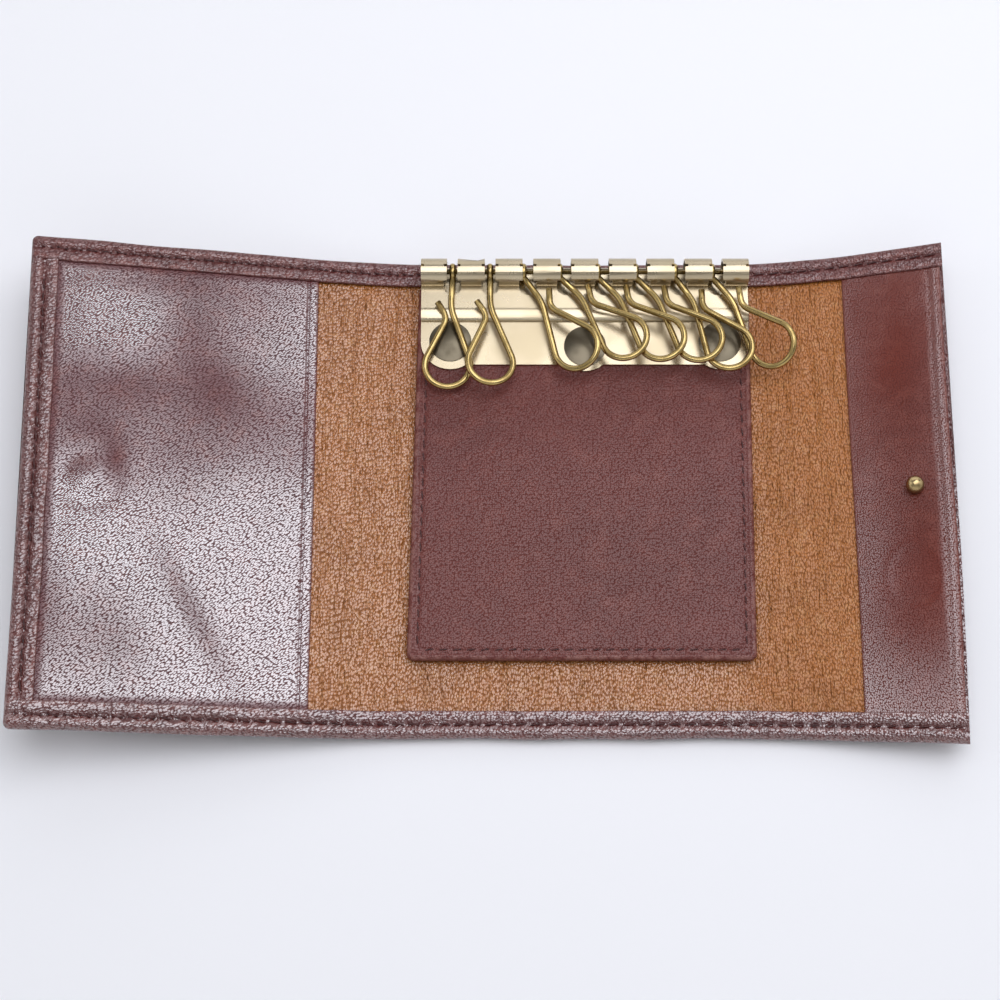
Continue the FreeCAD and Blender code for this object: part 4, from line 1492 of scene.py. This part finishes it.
@dataclass
class Leaf:
    """The sewn leaf that carries the key frame, in millimetres."""

    finishes: Finishes
    stitching: Stitching
    half_width: float = 34.0
    low: float = -35.0
    high: float = 44.3
    lean: float = 1.5
    back: float = 1.86
    back_face: float = 1.7
    back_round: Pair = (0.12, 0.5)
    back_lap: float = 0.1
    back_lines: int = 60
    front: float = 3.7
    edge: float = 0.8
    corner: float = 1.5
    least_corner: float = 0.3
    seam: float = 2.05
    seam_depth: float = 0.13
    seam_width: float = 0.32
    hole_width: float = 0.17
    hole_share: float = 0.7
    turned_line: tuple[Triple, ...] = ((0.09, 1.25, 0.16),)
    seam_from: Pair = (12.0, 18.0)
    swell_depth: float = 0.07
    swell_size: float = 24.0
    rim: float = 1.6
    rim_drop: float = 0.05
    rim_from: Pair = (2.2, 1.2)
    swell_from: Pair = (2.5, 8.0)
    soft_from: Pair = (1.0, 1.3)
    foot: float = 4
    sharp: float = 70.0
    wear: tuple[Triple, ...] = ((0.9, 0.45, 0.4), (0.25, 1.6, 0.2))
    top_gloss: float = 0.45
    gloss_from: Pair = (22, 44)
    pitch: float = 2.7
    stitch: float = 1.7
    thread: float = 0.15
    arch: float = 0.2
    thread_sink: float = 0.1
    thread_top: float = 33.0
    thread_shift: float = 1.5
    root_up: Pair = (43.0, 48.2)
    root_half: float = 27.8
    root_lines: tuple[int, int] = (60, 27)
    root_slope: Pair = (43.6, 45.6)
    root_levels: Pair = (2.35, 1.66)
    root_thick: float = 0.44
    root_bend: Pair = (43.9, 45.3)
    root_bend_level: float = 2.0
    cell: float = 0.6
    fine: tuple[float, ...] = (
        0.0, 0.03, 0.1, 0.2, 0.34, 0.5, 0.66, 0.82, 1.0, 1.15, 1.3, 1.45, 1.6, 1.8, 2.05, 2.3, 2.55, 2.9,
    )
    noise: Unevenness = field(default_factory=lambda: Unevenness(14))

    def shift(self, up: np.ndarray) -> np.ndarray:
        """How far the leaf leans sideways at that distance up the case."""
        return -self.lean * (self.high - up) / (self.high - self.low)

    def outline(self, inset: float, across: np.ndarray, up: np.ndarray) -> tuple[np.ndarray, ...]:
        """Lays a grid inside the leaf's outline, with its corners rounded.

        Args:
            inset: How far inside the outline the grid's edge lies.
            across: Places across the grid, from -1 to 1.
            up: Places up the grid, from -1 to 1.

        Returns:
            Place across, place up and distance in from the edge.
        """
        half_x, half_y = self.half_width - inset, (self.high - self.low) / 2 - inset
        x, y = np.meshgrid(across * half_x, up * half_y, indexing="ij")
        corner = max(self.corner - inset, self.least_corner)
        over_x, over_y = np.abs(x) - (half_x - corner), np.abs(y) - (half_y - corner)
        inward = np.minimum(half_x - np.abs(x), half_y - np.abs(y))
        rounded = (over_x > 0) & (over_y > 0)
        long = np.hypot(over_x, over_y)
        share = np.where(rounded, np.maximum(over_x, over_y) / np.where(long > 0, long, 1), 1)
        x = np.where(rounded, np.sign(x) * (half_x - corner + over_x * share), x)
        y = np.where(rounded, np.sign(y) * (half_y - corner + over_y * share), y)
        y = y + (self.high + self.low) / 2
        return x + self.shift(y), y, inward

    def lines(self, half: float) -> np.ndarray:
        """Places grid lines from -1 to 1, close together at both ends.

        Args:
            half: Half the grid's width.

        Returns:
            The lines' places.
        """
        fine = half - np.array(self.fine)
        return np.concatenate([-fine, evenly(fine[-1], self.cell)[1:-1], fine[::-1]]) / half

    def leather(self) -> Piece:
        """Builds the front leather, turned round its edges.

        Returns:
            The piece.
        """
        across, up = self.lines(self.half_width), self.lines((self.high - self.low) / 2)
        x, y, inward = self.outline(0, across, up)
        share = np.sqrt(1 - np.clip(1 - inward / self.edge, 0, 1) ** 2)
        middle, half = (self.front + self.back) / 2, (self.front - self.back) / 2
        from_top = self.high - y
        row = np.where(y - self.low < self.foot, x, y) / self.pitch
        hole = 1 + self.hole_share * bell(row - np.round(row), 0.0, self.hole_width)
        seam = self.seam_depth * bell(inward, self.seam, self.seam_width) * hole
        seam = seam + ridges(inward, self.turned_line)
        swell = self.noise.layered(x / self.swell_size, y / self.swell_size)
        soft = self.swell_depth * swell * ease(*self.swell_from, inward)
        soft = soft - self.rim_drop * ease(*self.rim_from, inward)
        shown = ease(*self.seam_from, from_top)
        top = middle + half * share + shown * (soft - seam) * ease(*self.soft_from, inward)
        # Painted shade: the leaf keeps less gloss towards its top, so its sheen fades there.
        kept = self.top_gloss + (1 - self.top_gloss) * ease(*self.gloss_from, from_top)
        shell = Shell()
        bottom = points(x, y, middle - half * share)
        shell.slab(points(x, y, top), bottom, ridges(inward, self.wear), kept)
        piece = shell.piece("leaf_front_leather", self.finishes.leaf, self.sharp)
        return seated(piece, Body.LEAF.value, Slot.LEAF, "leaf_front", "leaf_core")

    def back_panel(self) -> Piece:
        """Builds the back leather, set in from the turned edge.

        Returns:
            The piece.
        """
        lines = np.linspace(-1, 1, self.back_lines)
        x, y, inward = self.outline(self.rim, lines, lines)
        depth, reach = self.back_round
        drop = depth * (1 - np.sqrt(1 - np.clip(1 - inward / reach, 0, 1) ** 2))
        shell = Shell()
        shell.slab(points(x, y, self.back + self.back_lap), points(x, y, self.back_face + drop))
        piece = shell.piece("leaf_back_leather", self.finishes.leaf)
        return seated(piece, Body.LEAF.value, Slot.LEAF, "leaf_back")

    def root(self) -> Piece:
        """Builds the strip that joins the leaf to the upper hem.

        Returns:
            The piece.
        """
        across = np.linspace(-self.root_half, self.root_half, self.root_lines[0])
        up = np.linspace(*self.root_up, self.root_lines[1])
        x, y = np.meshgrid(across, up, indexing="ij")
        share, half = ease(*self.root_slope, y), self.root_thick / 2
        middle = self.root_levels[0] * (1 - share) + self.root_levels[1] * share
        shell = Shell()
        shell.slab(points(x, y, middle + half), points(x, y, middle - half))
        piece = shell.piece("leaf_root_leather", self.finishes.leaf)
        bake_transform(piece)
        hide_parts("leaf_tab")
        return piece

    def sew(self) -> Piece:
        """Sews the leaf's two sides and lower edge.

        Returns:
            The thread.
        """
        pitch, height = self.pitch, self.front - self.thread_sink
        side, foot = self.half_width - self.seam, self.low + self.seam
        up = (np.arange(math.ceil(foot / pitch), math.floor(self.thread_top / pitch)) + 0.5) * pitch
        paths = [points(x + self.shift(up), up, height) for x in (-side, side)]
        left = math.ceil((-side - self.thread_shift) / pitch)
        right = math.floor((side - self.thread_shift) / pitch)
        paths.append(points((np.arange(left, right) + 0.5) * pitch, foot, height))
        sizes = dict(pitch=pitch, length=self.stitch, thread=self.thread, arch=self.arch)
        return seated(self.stitching.row("leaf_thread", paths, **sizes), Body.LEAF.value, Slot.LEAF)

    def build(self) -> None:
        """Builds every piece of the leaf."""
        for step in (self.leather, self.back_panel, self.root, self.sew):
            report(step())


# Metal pieces


@dataclass
class Metalwork:
    """The key frame, its hooks, rivets and the snap."""

    finishes: Finishes
    merge: float = 0.002
    hooks: int = 8
    sharp: float = 30.0
    frame_sharp: float = 25.0
    hook_sharp: float = 40.0

    def dress(self, node: str, body: str, material: Material, slot: Slot, sharp: float) -> Piece:
        """Gives a metal node a smooth copy with its own finish.

        Args:
            node: The node's name.
            body: The body that it rides on.
            material: Its finish.
            slot: Its material slot.
            sharp: Edges that turn by more degrees stay sharp.

        Returns:
            The piece.
        """
        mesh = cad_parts[node].data.copy()
        work = bmesh.new()
        work.from_mesh(mesh)
        bmesh.ops.remove_doubles(work, verts=work.verts, dist=self.merge * MM)
        work.to_mesh(mesh)
        work.free()
        mesh.name = f"{node}_metal"
        return seated(dressed(mesh, mesh.name, material, sharp), body, slot, node)

    def build(self) -> None:
        """Builds every metal piece."""
        made = self.finishes
        leaf, left, right = Body.LEAF.value, Body.LEFT_WING.value, Body.RIGHT_FLAP.value
        report(self.dress("key_frame", leaf, made.brass, Slot.FRAME, self.frame_sharp))
        report(self.dress("hook_axle", leaf, made.wire, Slot.HOOK, self.sharp))
        for node in ("frame_rivets", "rivet_washers"):
            report(self.dress(node, leaf, made.steel, Slot.STEEL, self.sharp))
        for number in range(1, self.hooks + 1):
            own = (f"key_hook_{number}", f"hook_{number}")
            report(self.dress(*own, made.wire, Slot.HOOK, self.hook_sharp))
        report(self.dress("snap_socket", left, made.snap, Slot.SNAP, self.sharp))
        report(self.dress("socket_spring", left, made.steel, Slot.STEEL, self.sharp))
        report(self.dress("socket_eyelet", left, made.snap, Slot.SNAP, self.sharp))
        for node in ("snap_stud", "stud_cap"):
            report(self.dress(node, right, made.snap, Slot.SNAP, self.sharp))


# Floor, light and camera


@dataclass(frozen=True)
class Lamp:
    """A soft lamp, in metres, whose face is white at a radiance of 1."""

    name: str
    place: Triple
    size: Pair
    radiance: float
    target: Triple = (0.0, 0.0, 0.0)

    def hang(self, tone: Triple) -> None:
        """Puts the lamp in the scene.

        Args:
            tone: The colour of its light.
        """
        data = bpy.data.lights.new(self.name, "AREA")
        data.shape = "RECTANGLE"
        data.size, data.size_y = self.size
        data.energy = self.radiance * math.pi * self.size[0] * self.size[1]
        data.color = tone
        lamp = in_scene(self.name, data)
        lamp.location = self.place
        aim = lamp.location - type(lamp.location)(self.target)
        lamp.rotation_euler = aim.to_track_quat("Z", "Y").to_euler()


@dataclass
class Studio:
    """A pale floor, soft light and the camera, in metres."""

    floor_tone: Triple = linear(243, 243, 245)
    floor_roughness: float = 0.9
    floor_gloss: float = 0.1
    floor_radius: float = 0.7
    floor_sides: int = 96
    floor_drop: float = 0.0006
    lens: float = 69.2
    sensor: float = 36.0
    clip: Pair = (0.01, 20.0)
    spot: Triple = (-0.01735, -0.12426, 0.36577)
    tilt: float = 18.6
    sky: float = 0.25
    sky_tone: Triple = (0.98, 0.985, 1.0)
    backdrop: float = 0.92
    backdrop_fade: Pair = (0.1, 0.6)
    lamp_tone: Triple = (0.97, 0.985, 1.05)
    lamps: tuple[Lamp, ...] = (
        Lamp("overhead_box", (0.1, 0.125, 0.66), (0.5, 0.8), 2.9, (-0.02, 0.05, 0.0)),
        Lamp("back_box", (0.0, 0.8, 0.5), (1.2, 0.5), 0.8),
        Lamp("front_box", (0.0, -0.8, 0.5), (1.2, 0.5), 0.5),
        Lamp("side_box_left", (-0.75, 0.1, 0.5), (0.5, 0.5), 0.8),
        Lamp("side_box_right", (0.75, 0.1, 0.5), (0.5, 0.5), 0.8),
    )

    def floor(self) -> None:
        """Lays the floor."""
        mesh = bpy.data.meshes.new("floor")
        turns = np.linspace(0, 2 * np.pi, self.floor_sides, endpoint=False)
        wide, level = self.floor_radius, -self.floor_drop
        rim = [(wide * math.cos(a), wide * math.sin(a), level) for a in turns]
        mesh.from_pydata(rim, [], [tuple(range(self.floor_sides))])
        made, nodes, shader = start_material("floor_paper")
        look = dict(Roughness=self.floor_roughness, Specular_IOR_Level=self.floor_gloss)
        nodes.feed(shader, Base_Color=self.floor_tone, **look)
        mesh.materials.append(made)
        in_scene("floor", mesh)

    def world(self) -> None:
        """Makes the soft room light, with a pale backdrop round it that metal shows too."""
        world = bpy.data.worlds.new("room")
        bpy.context.scene.world = world
        world.use_nodes = True
        nodes = Nodes(world.node_tree)
        rays = nodes.add("ShaderNodeLightPath").outputs
        mirrored = nodes.maths("MAXIMUM", rays["Is Glossy Ray"], rays["Is Transmission Ray"])
        seen = nodes.maths("MAXIMUM", rays["Is Camera Ray"], mirrored)
        way = nodes.add("ShaderNodeTexCoord").outputs["Generated"]
        rise = nodes.add("ShaderNodeSeparateXYZ", Vector=way).outputs["Z"]
        backdrop = nodes.spread(rise, *self.backdrop_fade, (self.backdrop - self.sky, 0.0))
        light = nodes.maths("MULTIPLY_ADD", seen, backdrop, self.sky)
        nodes.feed(world.node_tree.nodes["Background"], Color=self.sky_tone, Strength=light)

    def camera(self) -> None:
        """Sets the camera."""
        data = bpy.data.cameras.new("camera")
        data.lens = self.lens
        data.sensor_width = self.sensor
        data.clip_start, data.clip_end = self.clip
        camera = in_scene("camera", data)
        camera.location = self.spot
        camera.rotation_euler = (math.radians(self.tilt), 0.0, 0.0)
        bpy.context.scene.camera = camera

    def build(self) -> None:
        """Builds the studio."""
        bpy.context.scene.view_settings.view_transform = "Standard"
        self.camera()
        self.floor()
        self.world()
        for lamp in self.lamps:
            lamp.hang(self.lamp_tone)


def main() -> None:
    """Builds the case piece by piece."""
    logging.basicConfig(level=logging.INFO, format="%(name)s %(message)s")
    Studio().build()
    finishes = Finishes()
    stitching = Stitching(finishes)
    Cover(finishes, stitching).build()
    Lining(finishes).build()
    WingPanels(finishes).build()
    Leaf(finishes, stitching).build()
    Metalwork(finishes).build()


if __name__ == "__main__":
    main()
